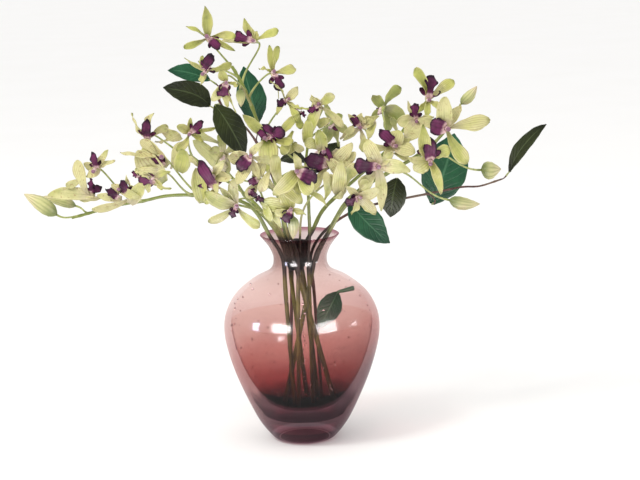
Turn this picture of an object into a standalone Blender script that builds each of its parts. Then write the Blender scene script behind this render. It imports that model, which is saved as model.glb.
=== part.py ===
"""Cut dendrobium orchid sprays and leafy twigs standing in a thick-based plum glass vase.

Metres, +Z up. The origin is the centre of the vase's flat foot, and -Y is the front.
"""

import math

import bmesh
import bpy
from mathutils import Matrix, Vector

MM = 0.001
GAP = 0.3 * MM

# The vase: radius and height of the points that its outline needs, from foot to lip
VASE_SIDES = 32
VASE_OUTSIDE = (
    (26.0, 0.0),
    (33.0, 4.0),
    (45.0, 20.0),
    (57.5, 45.5),
    (67.5, 70.0),
    (74.5, 94.0),
    (77.0, 112.0),
    (74.8, 129.0),
    (65.5, 146.5),
    (48.0, 161.5),
    (30.5, 171.0),
    (26.2, 182.0),
    (30.0, 194.0),
    (38.5, 205.0),
)
VASE_INSIDE = (
    (37.1, 205.6),
    (28.4, 194.6),
    (24.0, 182.0),
    (27.6, 168.6),
    (45.6, 158.4),
    (61.4, 143.4),
    (69.0, 126.5),
    (69.4, 112.0),
    (66.0, 95.0),
    (57.0, 70.0),
    (43.0, 48.0),
    (26.0, 36.0),
    (0.0, 32.0),
)
OUTLINE_STEPS = 2

# The water, in millimetres: its level, the skin of air between it and the glass, and the clear
# channel round each stem, which runs on past the stem's cut end and out of the water's top
WATER_LEVEL = 120.0
WATER_SKIN = 0.45
WATER_EDGE = 2.0
CHANNEL_CLEARANCE = 0.4
CHANNEL_RUN_OUT = 12.0
CHANNEL_RISE = 5.0
CHANNEL_SIDES = 8

# Where the stems pass the lip and the neck, in millimetres of height
LIP_LEVEL = 207.0
NECK_LEVEL = 183.0
WAIST_LEVEL = 145.0
STEM_STEPS = 3
STEM_SIDES = 6

# A side shoot starts at a collar, in millimetres, no lower than this far above the lip. It sets
# off and arrives in easy curves, which are shares of its reach
COLLAR = 2.4
LOWEST_COLLAR = 6.0
SHOOT_BACK_OFF = 6.0
SHOOT_SETS_OFF, SHOOT_ARRIVES = 0.35, 0.40
SHOOT_STEPS = (0.14, 0.38, 0.68, 1.0)
EASY_LEAN = 0.55
STEEP_COST = 2.0

# The photograph's view, which turns a place in its 640 by 480 frame into a real one
EYE = Vector((0.020, -1.550, 0.482))
LOOK_DOWN = math.radians(10.33)
VIEW_ROLL = math.radians(1.43)
FOCAL_PIXELS = 1604.0
FRAME_MIDDLE = (320.0, 240.0)

# One open flower at size 1, in millimetres
HUB_RADIUS = 3.4
HUB_DEPTH = 2.6
HUB_SIDES = 6
PETAL_THICK = 0.9
PETAL_CURL = math.radians(-18)
LIP_LENGTH, LIP_WIDTH = 16.0, 12.0
LIP_FOLD, LIP_CURL = math.radians(52), math.radians(-45)
COLUMN_LENGTH, COLUMN_RADIUS = 5.0, 1.7
OVARY_LENGTH = 9.0
PEDICEL_RADIUS = 0.9

# The hub side that each petal or sepal grows from, the way it points, both in degrees, its
# length and its width: the upper sepal, the two petals and the two side sepals
FLORAL_PARTS = (
    (90, 90, 22.0, 9.5),
    (30, 20, 23.0, 10.0),
    (150, 160, 23.0, 10.0),
    (330, -42, 21.0, 11.0),
    (210, 222, 21.0, 11.0),
)

# A petal's width along its length, the ovary's radius in millimetres along its length, and a
# bud's radius along its length, all from base to tip
PETAL_OUTLINE = ((0.30, 0.78), (0.74, 1.0), (1.0, 0.24))
OVARY_OUTLINE = ((0.45, 2.0), (1.0, 1.3))
BUD_OUTLINE = ((0.0, 0.24), (0.1, 0.66), (0.3, 0.98), (0.55, 0.9), (0.8, 0.5), (1.0, 0.08))
BUD_SIDES = 8

# A leaf: its stalk's share of its width, the thickness of stalk and blade, the length of the
# stalk's cut stub, in millimetres, and the blade's width along its length
STALK_SHARE = 0.055
STALK_THICK, BLADE_THICK = 1.5, 1.0
STALK_STUB = 0.6
LEAF_OUTLINE = ((0.0, 0.10), (0.2, 0.72), (0.42, 1.0), (0.65, 0.94), (0.86, 0.55), (1.0, 0.08))
LEAF_ARCH = 2.0

# Each stem: where it stands in the vase and passes the neck and lip (x, y in millimetres),
# its radius at the foot and at the tip, and the places above the lip (pixel x, y, depth in
# millimetres behind the vase's middle)
STEMS = {
    "left_spray_stem": {
        "foot": (-9, -4), "neck": (-17.0, -7), "lip": (-29, -11), "radius": (2.2, 1.2),
        "route": ((256, 212, -16), (240, 201, -24), (216, 197, -30), (192, 195, -32),
                  (166, 196, -32), (143, 201, -30), (119, 205, -28), (97, 211, -27), (72, 218, -26)),
    },
    "tall_left_spray_stem": {
        "foot": (30, -6), "neck": (-6, -11), "lip": (-13, -15), "radius": (2.5, 1.3),
        "route": ((281, 205, -16), (272, 168, -12), (263, 138, -6), (252, 107, 0),
                  (242, 84, 2), (232, 66, 2)),
    },
    "back_left_spray_stem": {
        "foot": (3, 20), "neck": (-12, 5), "lip": (-22, 10), "radius": (2.2, 1.3),
        "route": ((259, 208, 22), (240, 190, 32), (216, 174, 38), (193, 158, 38), (173, 149, 34)),
    },
    "middle_spray_stem": {
        "foot": (9, 2), "neck": (8, -3), "lip": (10, -4), "radius": (2.0, 1.2),
        "route": ((309, 214, -5), (308, 190, -4), (306, 164, 0), (309, 140, 4), (316, 122, 6)),
    },
    "back_right_spray_stem": {
        "foot": (14, 18), "neck": (1, 9), "lip": (13, 14), "radius": (2.4, 1.3),
        "route": ((323, 210, 20), (341, 192, 26), (360, 175, 32), (381, 156, 36), (399, 136, 38),
                  (412, 118, 38)),
    },
    "right_spray_stem": {
        "foot": (-19, 4), "neck": (15.5, 4), "lip": (29, 5), "radius": (2.4, 1.3),
        "route": ((344, 205, 2), (362, 188, -2), (386, 174, -4), (410, 160, -4), (434, 143, -2),
                  (452, 122, 4), (459, 110, 6)),
    },
    "front_spray_stem": {
        "foot": (-5, -17), "neck": (-2, -18), "lip": (-7, -27), "radius": (2.1, 1.2),
        "route": ((288, 214, -36), (282, 194, -46), (276, 176, -52), (268, 160, -54)),
    },
    "right_leaf_twig": {
        "foot": (18, 12), "neck": (11, 14), "lip": (27, 19), "radius": (1.7, 0.8),
        "route": ((352, 212, 16), (376, 204, 8), (406, 198, 8), (437, 192, 10), (462, 187, 10),
                  (480, 186, 8), (502, 179, 4)),
    },
    "left_leaf_twig": {
        "foot": (-14, 22), "neck": (-8, 15), "lip": (-13, 26), "radius": (1.7, 0.9),
        "route": ((281, 204, 40), (272, 176, 48), (261, 150, 50), (246, 128, 46), (228, 113, 40),
                  (217, 98, 36)),
    },
}

# Each flower: the stem that carries it, its middle in the photograph (pixel x, y) and depth in
# millimetres, the way it faces (degrees to the viewer's right, degrees up), the way its lip
# points in the picture (degrees, 90 is up), its size, and how far its petals fold forward
FLOWERS = {
    "tall_left_flower_1": ("tall_left_spray_stem", 208, 38, 0, 8, 4, -75, 1.12, 10),
    "tall_left_flower_2": ("tall_left_spray_stem", 206, 71, -16, -25, -8, 60, 0.95, 15),
    "tall_left_flower_3": ("tall_left_spray_stem", 226, 82, -42, 0, -22, -85, 0.85, 30),
    "tall_left_flower_4": ("tall_left_spray_stem", 254, 41, 6, -25, 12, 172, 0.95, 15),
    "tall_left_flower_5": ("tall_left_spray_stem", 273, 73, -4, 20, 5, -75, 0.90, 5),
    "tall_left_flower_6": ("tall_left_spray_stem", 286, 101, -10, 20, 25, -100, 0.80, 25),
    "left_flower_1": ("left_spray_stem", 95, 169, -34, -10, 5, 90, 1.00, 20),
    "left_flower_2": ("left_spray_stem", 117, 189, -52, 5, 5, 215, 0.85, 15),
    "left_flower_3": ("left_spray_stem", 153, 178, -72, -35, -18, 200, 0.90, 25),
    "left_flower_4": ("left_spray_stem", 161, 157, -36, -10, 10, 195, 1.15, 20),
    "back_left_flower_1": ("back_left_spray_stem", 148, 139, 20, -8, -15, 90, 1.00, 10),
    "back_left_flower_2": ("back_left_spray_stem", 190, 133, 12, 12, 5, 50, 0.95, 15),
    "back_left_flower_3": ("back_left_spray_stem", 222, 154, 62, 165, 15, -60, 1.10, 15),
    "front_flower_1": ("front_spray_stem", 213, 176, -74, -12, 10, 128, 1.15, 25),
    "front_flower_2": ("front_spray_stem", 250, 157, -74, -5, 5, 228, 0.95, 15),
    "front_flower_3": ("front_spray_stem", 236, 206, -72, 0, -12, -112, 1.10, 5),
    "front_flower_4": ("front_spray_stem", 291, 209, -72, -10, -12, 222, 0.90, 20),
    "front_flower_5": ("front_spray_stem", 297, 172, -82, 18, 5, -30, 1.05, 20),
    "middle_flower_1": ("middle_spray_stem", 267, 138, -26, 0, 12, 60, 1.10, 20),
    "middle_flower_2": ("middle_spray_stem", 322, 152, -32, 0, 0, 222, 1.05, 15),
    "middle_flower_3": ("middle_spray_stem", 319, 106, -2, -20, 12, 212, 0.95, 20),
    "middle_flower_4": ("middle_spray_stem", 332, 122, 42, 170, 5, -105, 0.95, 15),
    "back_right_flower_1": ("back_right_spray_stem", 361, 127, 10, -20, 15, 135, 1.00, 25),
    "back_right_flower_2": ("back_right_spray_stem", 383, 108, 60, 175, 15, 215, 1.00, 15),
    "back_right_flower_3": ("back_right_spray_stem", 417, 120, 16, -10, 10, 98, 0.90, 20),
    "back_right_flower_4": ("back_right_spray_stem", 428, 100, 50, 12, 25, 72, 1.05, 15),
    "right_flower_1": ("right_spray_stem", 378, 166, -44, -15, 0, 180, 1.15, 5),
    "right_flower_2": ("right_spray_stem", 393, 146, -14, 10, 20, 110, 1.05, 25),
    "right_flower_3": ("right_spray_stem", 446, 128, -34, -5, 2, 178, 1.20, 5),
    "right_flower_4": ("right_spray_stem", 430, 160, -46, 0, -10, 95, 1.05, 15),
    "right_flower_5": ("right_spray_stem", 358, 196, -40, 10, -20, 218, 0.85, 15),
}

# Each bud: its stem, the pixel places and depths of its base and its tip, and its width
BUDS = {
    "left_tip_bud_1": ("left_spray_stem", (57, 215, -26), (25, 195, -26), 13.0),
    "left_tip_bud_2": ("left_spray_stem", (76, 206, -12), (44, 198, -10), 10.0),
    "tall_left_bud": ("tall_left_spray_stem", (240, 89, -16), (241, 107, -20), 9.5),
    "top_right_bud": ("right_spray_stem", (461, 104, 6), (477, 86, 6), 11.0),
    "round_right_bud": ("right_spray_stem", (481, 170, -2), (501, 169, -2), 18.0),
    "low_right_bud": ("right_spray_stem", (449, 200, -14), (480, 204, -14), 13.0),
    "lip_bud": ("front_spray_stem", (293, 216, -60), (293, 239, -58), 11.0),
}

# Each leaf: its twig, the pixel places and depths of its stalk's foot, of the blade's start and
# of its tip, its width, the way its upper face looks (degrees right, degrees up), and its droop
LEAVES = {
    "left_leaf_1": ("left_leaf_twig", (216, 84, 34), (210, 80, 32), (168, 69, 26), 17, (-10, 30), 2),
    "left_leaf_2": ("left_leaf_twig", (217, 110, 30), (209, 107, 26), (163, 88, 10), 23, (-5, 15), 4),
    "left_leaf_3": ("left_leaf_twig", (219, 104, 22), (216, 106, 14), (245, 155, 0), 26, (5, 10), 3),
    "left_leaf_4": ("left_leaf_twig", (258, 130, 56), (258, 123, 58), (243, 67, 52), 29, (5, 5), 3),
    "left_leaf_5": ("left_leaf_twig", (274, 160, 56), (280, 160, 56), (309, 163, 50), 15, (0, 50), 3),
    "right_leaf_1": ("right_leaf_twig", (350, 206, 6), (350, 202, -2), (388, 240, -14), 27, (20, 25), 2),
    "right_leaf_2": ("right_leaf_twig", (399, 185, 2), (397, 178, 0), (391, 216, -8), 26, (-15, 5), 3),
    "right_leaf_3": ("right_leaf_twig", (434, 203, 30), (434, 204, 36), (455, 134, 54), 44, (-10, 0), 4),
    "right_leaf_4": ("right_leaf_twig", (506, 176, 3), (509, 172, 3), (546, 124, -2), 15, (-35, 10), 3),
    "back_leaf": ("left_leaf_twig", (300, 176, 66), (312, 172, 66), (340, 142, 60), 22, (10, 20), 3),
}
SUNKEN_LEAF = ("sunken_leaf", (353.5, 288, -6), (334, 293, -12), (319, 322, -30), 24, (0, 10), 2)

# Base colour and roughness of each kind of piece, and the angle from which an edge looks sharp
SHARP_EDGE = math.radians(50)
COLOURS = {
    "glass": ((0.42, 0.16, 0.17, 1.0), 0.05),
    "water": ((0.80, 0.72, 0.70, 1.0), 0.05),
    "green stem": ((0.16, 0.22, 0.06, 1.0), 0.55),
    "brown twig": ((0.13, 0.05, 0.04, 1.0), 0.65),
    "flower": ((0.62, 0.62, 0.24, 1.0), 0.60),
    "bud": ((0.62, 0.66, 0.38, 1.0), 0.60),
    "leaf": ((0.04, 0.11, 0.05, 1.0), 0.50),
}


def clear_scene():
    for thing in list(bpy.data.objects):
        bpy.data.objects.remove(thing, do_unlink=True)


def material(kind):
    found = bpy.data.materials.get(kind)
    if found:
        return found
    colour, roughness = COLOURS[kind]
    made = bpy.data.materials.new(kind)
    made.use_nodes = True
    shader = made.node_tree.nodes["Principled BSDF"]
    shader.inputs["Base Color"].default_value = colour
    shader.inputs["Roughness"].default_value = roughness
    shader.inputs["Metallic"].default_value = 0.0
    made.diffuse_color = colour
    return made


def keep(bm, name, kind):
    """Turns a bmesh into a named object with its own material."""
    bmesh.ops.recalc_face_normals(bm, faces=bm.faces)
    mesh = bpy.data.meshes.new(name)
    bm.to_mesh(mesh)
    bm.free()
    mesh.materials.append(material(kind))
    mesh.shade_smooth()
    mesh.set_sharp_from_angle(angle=SHARP_EDGE)
    made = bpy.data.objects.new(name, mesh)
    bpy.context.scene.collection.objects.link(made)
    return made


def seen(pixel_x, pixel_y, depth):
    """The point that shows at this pixel, on the upright plane that lies depth behind the middle."""
    across = pixel_x - FRAME_MIDDLE[0]
    rise = FRAME_MIDDLE[1] - pixel_y
    level = Matrix.Rotation(-VIEW_ROLL, 2) @ Vector((across, rise))
    forward = Vector((0, math.cos(LOOK_DOWN), -math.sin(LOOK_DOWN)))
    upward = Vector((0, math.sin(LOOK_DOWN), math.cos(LOOK_DOWN)))
    ray = forward * FOCAL_PIXELS + Vector((1, 0, 0)) * level.x + upward * level.y
    return EYE + ray * ((depth * MM - EYE.y) / ray.y)


def facing(right, up):
    """A unit direction, degrees to the viewer's right and degrees up from straight at the viewer."""
    right, up = math.radians(right), math.radians(up)
    return Vector((math.sin(right) * math.cos(up), -math.cos(right) * math.cos(up), math.sin(up)))


def smooth_curve(points, steps):
    """A Catmull-Rom curve through the points, with so many steps from each to the next."""
    ends = [points[0] * 2 - points[1]] + list(points) + [points[-1] * 2 - points[-2]]
    curve = []
    for before, start, end, after in zip(ends, ends[1:], ends[2:], ends[3:]):
        for step in range(steps):
            t = step / steps
            curve.append(
                0.5 * (2 * start + (end - before) * t
                       + (2 * before - 5 * start + 4 * end - after) * t ** 2
                       + (3 * start - before - 3 * end + after) * t ** 3)
            )
    curve.append(points[-1].copy())
    return curve


def outline(rows):
    """Radius and height pairs in millimetres as a smooth profile in the XZ plane."""
    return smooth_curve([Vector((r * MM, 0, z * MM)) for r, z in rows], OUTLINE_STEPS)


def turned(bm, profile):
    """Spins a profile about Z, from axis to axis, into a closed solid."""
    verts = [bm.verts.new(point) for point in profile]
    edges = [bm.edges.new(pair) for pair in zip(verts, verts[1:])]
    bmesh.ops.spin(
        bm, geom=verts + edges, axis=(0, 0, 1), cent=(0, 0, 0),
        angle=2 * math.pi, steps=VASE_SIDES, use_merge=True,
    )
    bmesh.ops.remove_doubles(bm, verts=bm.verts, dist=0.01 * MM)


def vase():
    """A glass body with a heavy base, a narrow neck and a thin flaring lip."""
    bm = bmesh.new()
    turned(bm, [Vector((0, 0, 0))] + outline(VASE_OUTSIDE) + outline(VASE_INSIDE))
    return keep(bm, "vase", "glass")


def inner_radius(height):
    """The radius of the glass's inner face at a height, in metres."""
    wall = outline(VASE_INSIDE)
    for high, low in zip(wall, wall[1:]):
        if low.z <= height <= high.z:
            return low.x + (high.x - low.x) * (height - low.z) / (high.z - low.z)
    return 0.0


def floor_height(radius):
    """The height of the glass's inner floor at a radius, in metres."""
    floor = outline(VASE_INSIDE)[::-1]
    for near, far in zip(floor, floor[1:]):
        if near.x <= radius <= far.x:
            return near.z + (far.z - near.z) * (radius - near.x) / (far.x - near.x)
    return floor[0].z


def water(stems):
    """The vase's fill of water, with a clear channel round each stem."""
    wall = [p for p in outline(VASE_INSIDE) if p.z < (WATER_LEVEL - WATER_EDGE) * MM]
    top = Vector((inner_radius(WATER_LEVEL * MM), 0, WATER_LEVEL * MM))
    profile = []
    for here, ahead in zip([top] + wall, wall + [Vector((-1 * MM, 0, wall[-1].z))]):
        along = (ahead - here).normalized()
        inward = Vector((along.z, 0, -along.x))
        profile.append(here + inward * WATER_SKIN * MM)
    profile[0] = Vector((profile[0].x, 0, WATER_LEVEL * MM))
    profile[-1] = Vector((0, 0, wall[-1].z + WATER_SKIN * MM))
    bm = bmesh.new()
    turned(bm, [Vector((0, 0, WATER_LEVEL * MM))] + profile)
    made = keep(bm, "water", "water")
    for stem in stems:
        channel = stem_channel(stem)
        cut = made.modifiers.new(channel.name, "BOOLEAN")
        cut.operation = "DIFFERENCE"
        cut.solver = "EXACT"
        cut.object = channel
    return made


def extend(bm, face, ring, places):
    """Extrudes a face and moves its copy's corners, keeping them in the ring's order."""
    copy = bmesh.ops.extrude_discrete_faces(bm, faces=[face])["faces"][0]
    fresh = [min(copy.verts, key=lambda v: (v.co - old.co).length_squared) for old in ring]
    for corner, place in zip(fresh, places):
        corner.co = place
    return copy, fresh


def round_places(ring, centre, old_way, place, way, radius):
    """A ring's corners carried to another place, turned to a new way and set to a radius."""
    turn = old_way.rotation_difference(way)
    places = []
    for corner in ring:
        spoke = turn @ (corner.co - centre)
        spoke -= way * spoke.dot(way)
        places.append(place + spoke.normalized() * radius)
    return places


def ways_along(points):
    """The direction of travel at each point of a path."""
    ways = []
    for i in range(len(points)):
        before, after = points[max(i - 1, 0)], points[min(i + 1, len(points) - 1)]
        ways.append((after - before).normalized())
    return ways


def start_tube(bm, points, radii, sides):
    """The first stretch of a tube, as a closed drum. Returns its far face and corners."""
    length = (points[1] - points[0]).length
    turn = Vector((0, 0, 1)).rotation_difference((points[1] - points[0]).normalized())
    middle = (points[0] + points[1]) / 2
    bmesh.ops.create_cone(
        bm, cap_ends=True, segments=sides, radius1=radii[0], radius2=radii[1], depth=length,
        matrix=Matrix.Translation(middle) @ turn.to_matrix().to_4x4(),
    )
    bm.faces.ensure_lookup_table()
    face = min(bm.faces, key=lambda f: (f.calc_center_median() - points[1]).length)
    return face, list(face.verts)


def tube(bm, points, radii, sides):
    """A tube grown face by face. Returns the side faces of each stretch after the first."""
    ways = ways_along(points)
    face, ring = start_tube(bm, points, radii, sides)
    centre, way = points[1], (points[1] - points[0]).normalized()
    stretches = []
    for place, new_way, radius in zip(points[2:], ways[2:], radii[2:]):
        places = round_places(ring, centre, way, place, new_way, radius)
        face, ring = extend(bm, face, ring, places)
        stretches.append([f for e in face.edges for f in e.link_faces if f is not face])
        centre, way = place, new_way
    return stretches


def shoot(bm, side_faces, end, end_way, radius):
    """Grows a side shoot out of a stem's collar, in a curve that arrives along end_way."""
    middle = sum((f.calc_center_median() for f in side_faces), Vector()) / len(side_faces)
    aim = (end - middle).normalized()
    face = max(side_faces, key=lambda f: f.normal.dot(aim))
    start = face.calc_center_median()
    way = face.normal.copy()
    ring = list(face.verts)
    reach = (end - start).length
    a, d = start, end
    b = start + (way + aim).normalized() * reach * SHOOT_SETS_OFF
    c = end - end_way * reach * SHOOT_ARRIVES
    for t in SHOOT_STEPS:
        place = a * (1 - t) ** 3 + b * 3 * t * (1 - t) ** 2 + c * 3 * t * t * (1 - t) + d * t ** 3
        new_way = ((b - a) * (1 - t) ** 2 + (c - b) * 2 * t * (1 - t) + (d - c) * t * t).normalized()
        places = round_places(ring, start, way, place, new_way, radius)
        face, ring = extend(bm, face, ring, places)
        start, way = place, new_way


def stem_path(spec):
    """The stem's points from its cut end in the vase to its tip, in metres."""
    foot, neck, lip = (Vector(spec[key]) * MM for key in ("foot", "neck", "lip"))
    radius = spec["radius"][0] * MM
    seat = floor_height(foot.length + radius) + GAP
    share = (NECK_LEVEL - WAIST_LEVEL) * MM / (NECK_LEVEL * MM - seat)
    waist = neck.lerp(foot, share)
    points = [
        Vector((foot.x, foot.y, seat)),
        Vector((waist.x, waist.y, WAIST_LEVEL * MM)),
        Vector((neck.x, neck.y, NECK_LEVEL * MM)),
        Vector((lip.x, lip.y, LIP_LEVEL * MM)),
    ]
    points += [seen(*place) for place in spec["route"]]
    return points


def stem_channel(name):
    """The clear space round the stretch of a stem that stands in the water."""
    points = smooth_curve(stem_path(STEMS[name]), STEM_STEPS)
    clear = next(i for i, p in enumerate(points) if p.z > (WATER_LEVEL + CHANNEL_RISE) * MM)
    points = points[:clear + 1]
    points[0] = points[0] - (points[1] - points[0]).normalized() * CHANNEL_RUN_OUT * MM
    radius = (STEMS[name]["radius"][0] + CHANNEL_CLEARANCE) * MM
    bm = bmesh.new()
    tube(bm, points, [radius] * len(points), CHANNEL_SIDES)
    made = keep(bm, name + "_channel", "water")
    made.hide_render = True
    made.display_type = "WIRE"
    return made


def best_place(points, end, used):
    """The point of a stem that a shoot to this end leaves from: near, and at an easy forward angle."""
    ways = ways_along(points)
    costs = {}
    for i in range(STEM_STEPS, len(points) - 1):
        if i in used or points[i].z < (LIP_LEVEL + LOWEST_COLLAR) * MM:
            continue
        span = end - points[i]
        lean = span.normalized().dot(ways[i])
        costs[i] = span.length * (1.0 + max(0.0, EASY_LEAN - lean) * STEEP_COST)
    best = min(costs, key=costs.get)
    used.add(best)
    return best


def stem(name, ends):
    """A stem with a collar and a side shoot for each flower, bud or leaf that it carries."""
    spec = STEMS[name]
    thick, thin = (r * MM for r in spec["radius"])
    path = smooth_curve(stem_path(spec), STEM_STEPS)
    used = set()
    leaving = {}
    for end, way, size in ends:
        leaving[best_place(path, end - way * SHOOT_BACK_OFF * MM, used)] = (end, way, size)
    points, collars = [], {}
    for i, point in enumerate(path):
        points.append(point)
        if i in leaving:
            ahead = (path[min(i + 1, len(path) - 1)] - point).normalized()
            collars[len(points)] = leaving[i]
            points.append(point + ahead * COLLAR * MM)
    share = [i / (len(points) - 1) for i in range(len(points))]
    radii = [thick + (thin - thick) * s for s in share]
    bm = bmesh.new()
    stretches = tube(bm, points, radii, STEM_SIDES)
    for index, (end, way, size) in collars.items():
        shoot(bm, stretches[index - 2], end, way, size)
    kind = "brown twig" if "twig" in name else "green stem"
    return keep(bm, name, kind)


def blade_places(ring, centre, along, flat, place, side, up, width, thick):
    """A blade's four corners at a new place: left and right by side, upper and lower by up."""
    places = []
    for corner in ring:
        spoke = corner.co - centre
        across = math.copysign(width / 2, spoke.dot(along))
        over = math.copysign(thick / 2, spoke.dot(flat))
        places.append(place + side * across + up * over)
    return places


def grow_blade(bm, face, side, up, stations):
    """Grows a flat blade out of a four-cornered face, through (place, side, up, width, thick)."""
    ring = list(face.verts)
    centre = face.calc_center_median()
    for place, new_side, new_up, width, thick in stations:
        places = blade_places(ring, centre, side, up, place, new_side, new_up, width, thick)
        face, ring = extend(bm, face, ring, places)
        centre, side, up = place, new_side, new_up


def petal(bm, face, angle, length, width, fold, curl, size):
    """One petal of a flower that faces +Z, grown outwards at an angle in the XY plane."""
    outward = Vector((math.cos(angle), math.sin(angle), 0))
    side = Vector((-math.sin(angle), math.cos(angle), 0))
    place = face.calc_center_median()
    before = 0.0
    stations = []
    for share, spread in PETAL_OUTLINE:
        bend = fold + curl * share
        way = outward * math.cos(bend) + Vector((0, 0, 1)) * math.sin(bend)
        up = Vector((0, 0, 1)) * math.cos(bend) - outward * math.sin(bend)
        place = place + way * (share - before) * length * size
        before = share
        stations.append((place, side, up, width * spread * size, PETAL_THICK * MM))
    grow_blade(bm, face, side, Vector((0, 0, 1)), stations)


def flower(name, row):
    """Three sepals, two petals, a lip, a column and an ovary, in one piece round a hub."""
    stem_name, pixel_x, pixel_y, depth, right, up, lip_angle, size, fold = row
    fold = math.radians(fold)
    bm = bmesh.new()
    bmesh.ops.create_cone(
        bm, cap_ends=True, segments=HUB_SIDES, radius1=HUB_RADIUS * MM * size,
        radius2=HUB_RADIUS * MM * size, depth=HUB_DEPTH * MM,
        matrix=Matrix.Rotation(math.pi / HUB_SIDES, 4, "Z"),
    )
    bm.normal_update()
    sides = {}
    for face in bm.faces:
        if abs(face.normal.z) < 0.5:
            sides[round(math.degrees(math.atan2(face.normal.y, face.normal.x))) % 360] = face
    front = next(f for f in bm.faces if f.normal.z > 0.5)
    back = next(f for f in bm.faces if f.normal.z < -0.5)
    for key, angle, length, width in FLORAL_PARTS:
        petal(bm, sides[key], math.radians(angle), length * MM, width * MM, fold, PETAL_CURL, size)
    petal(bm, sides[270], math.radians(270), LIP_LENGTH * MM, LIP_WIDTH * MM, LIP_FOLD, LIP_CURL, size)
    ring = list(front.verts)
    column = COLUMN_LENGTH * MM * size
    places = [v.co.normalized() * COLUMN_RADIUS * MM * size + Vector((0, 0, column)) for v in ring]
    extend(bm, front, ring, places)
    ring = list(back.verts)
    for share, radius in OVARY_OUTLINE:
        places = []
        for corner in ring:
            spoke = Vector((corner.co.x, corner.co.y, 0)).normalized() * radius * MM
            places.append(spoke - Vector((0, 0, OVARY_LENGTH * MM * size * share)))
        back, ring = extend(bm, back, ring, places)
    made = keep(bm, name, "flower")
    face_way = facing(right, up)
    lip_way = Vector((math.cos(math.radians(lip_angle)), 0, math.sin(math.radians(lip_angle))))
    top = -(lip_way - face_way * lip_way.dot(face_way)).normalized()
    across = top.cross(face_way)
    place = seen(pixel_x, pixel_y, depth)
    turn = Matrix((across, top, face_way)).transposed().to_4x4()
    made.matrix_world = Matrix.Translation(place) @ turn
    end = place - face_way * (OVARY_LENGTH * MM * size + GAP)
    return stem_name, (end, face_way, PEDICEL_RADIUS * MM)


def bud(name, row):
    """A closed bud, rounded at its base and pointed at its tip."""
    stem_name, base, tip, width = row
    base, tip = seen(*base), seen(*tip)
    way = (tip - base).normalized()
    length = (tip - base).length
    points = [base + way * length * share for share, _ in BUD_OUTLINE]
    radii = [width * MM / 2 * swell for _, swell in BUD_OUTLINE]
    bm = bmesh.new()
    tube(bm, points, radii, BUD_SIDES)
    keep(bm, name, "bud")
    return stem_name, (base - way * GAP, way, PEDICEL_RADIUS * MM)


def leaf(name, stalk, start, tip, width, face_way, droop):
    """A leaf: a short stalk, then a blade that widens, bends down a little and comes to a point."""
    stalk, start, tip = seen(*stalk), seen(*start), seen(*tip)
    width = width * MM
    look = facing(*face_way)
    middle = (start + tip) / 2 + look * droop * MM * LEAF_ARCH
    way = (start - stalk).normalized()
    points = [stalk + way * STALK_STUB * MM]
    for t, _ in LEAF_OUTLINE:
        points.append(start * (1 - t) ** 2 + middle * 2 * t * (1 - t) + tip * t * t)
    ways = ways_along(points)
    spread = [STALK_SHARE] + [share for _, share in LEAF_OUTLINE]
    thick = [STALK_THICK] * 2 + [BLADE_THICK] * (len(LEAF_OUTLINE) - 1)
    stations = []
    for point, along, share, deep in zip(points, ways, spread, thick):
        side = along.cross(look).normalized()
        up = side.cross(along).normalized()
        stations.append((point, side, up, width * share, deep * MM))
    first_side = stations[0][1]
    first_up = stations[0][2]
    frame = Matrix((first_side, first_up, first_side.cross(first_up))).transposed().to_4x4()
    stub = Matrix.Diagonal((width * STALK_SHARE, STALK_THICK * MM, STALK_STUB * MM, 1.0))
    bm = bmesh.new()
    bmesh.ops.create_cube(
        bm, size=1.0,
        matrix=Matrix.Translation(stalk + way * STALK_STUB * MM / 2) @ frame @ stub,
    )
    bm.normal_update()
    face = max(bm.faces, key=lambda f: f.normal.dot(way))
    grow_blade(bm, face, first_side, first_up, stations[1:])
    keep(bm, name, "leaf")
    return stalk - way * GAP, way, PEDICEL_RADIUS * MM


def build():
    clear_scene()
    vase()
    ends = {name: [] for name in STEMS}
    for name, row in FLOWERS.items():
        carrier, end = flower(name, row)
        ends[carrier].append(end)
    for name, row in BUDS.items():
        carrier, end = bud(name, row)
        ends[carrier].append(end)
    for name, row in LEAVES.items():
        ends[row[0]].append(leaf(name, *row[1:]))
    leaf(*SUNKEN_LEAF)
    for name in STEMS:
        stem(name, ends[name])
    water(STEMS)


build()
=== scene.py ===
# %% [markdown]
# # Orchid sprays in a glass vase
# Cut dendrobium sprays and leafy twigs stand in a narrow-necked glass vase. The packed model holds
# every piece at its real size. This lesson loads it, then makes the fine surface of each piece in
# the same place: the glass, the water, the stems, the flowers, the buds and the leaves.

# %% Load the frame
import math
import random

import bmesh
import bpy
from mathutils import Matrix, Vector


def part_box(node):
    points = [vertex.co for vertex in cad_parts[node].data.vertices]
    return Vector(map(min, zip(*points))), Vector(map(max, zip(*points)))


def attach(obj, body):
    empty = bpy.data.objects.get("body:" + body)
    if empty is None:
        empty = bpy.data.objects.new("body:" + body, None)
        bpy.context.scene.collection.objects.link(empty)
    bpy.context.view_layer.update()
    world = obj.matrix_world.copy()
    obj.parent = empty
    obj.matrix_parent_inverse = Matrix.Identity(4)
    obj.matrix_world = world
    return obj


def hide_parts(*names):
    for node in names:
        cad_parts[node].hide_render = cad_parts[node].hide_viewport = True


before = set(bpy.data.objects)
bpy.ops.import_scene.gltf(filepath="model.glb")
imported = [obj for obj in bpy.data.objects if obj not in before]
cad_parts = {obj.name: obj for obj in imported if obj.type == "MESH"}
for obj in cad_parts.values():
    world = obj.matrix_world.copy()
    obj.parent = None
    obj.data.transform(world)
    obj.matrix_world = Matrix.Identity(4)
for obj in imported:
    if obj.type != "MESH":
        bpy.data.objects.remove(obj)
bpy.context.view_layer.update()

MM = 0.001

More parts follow.
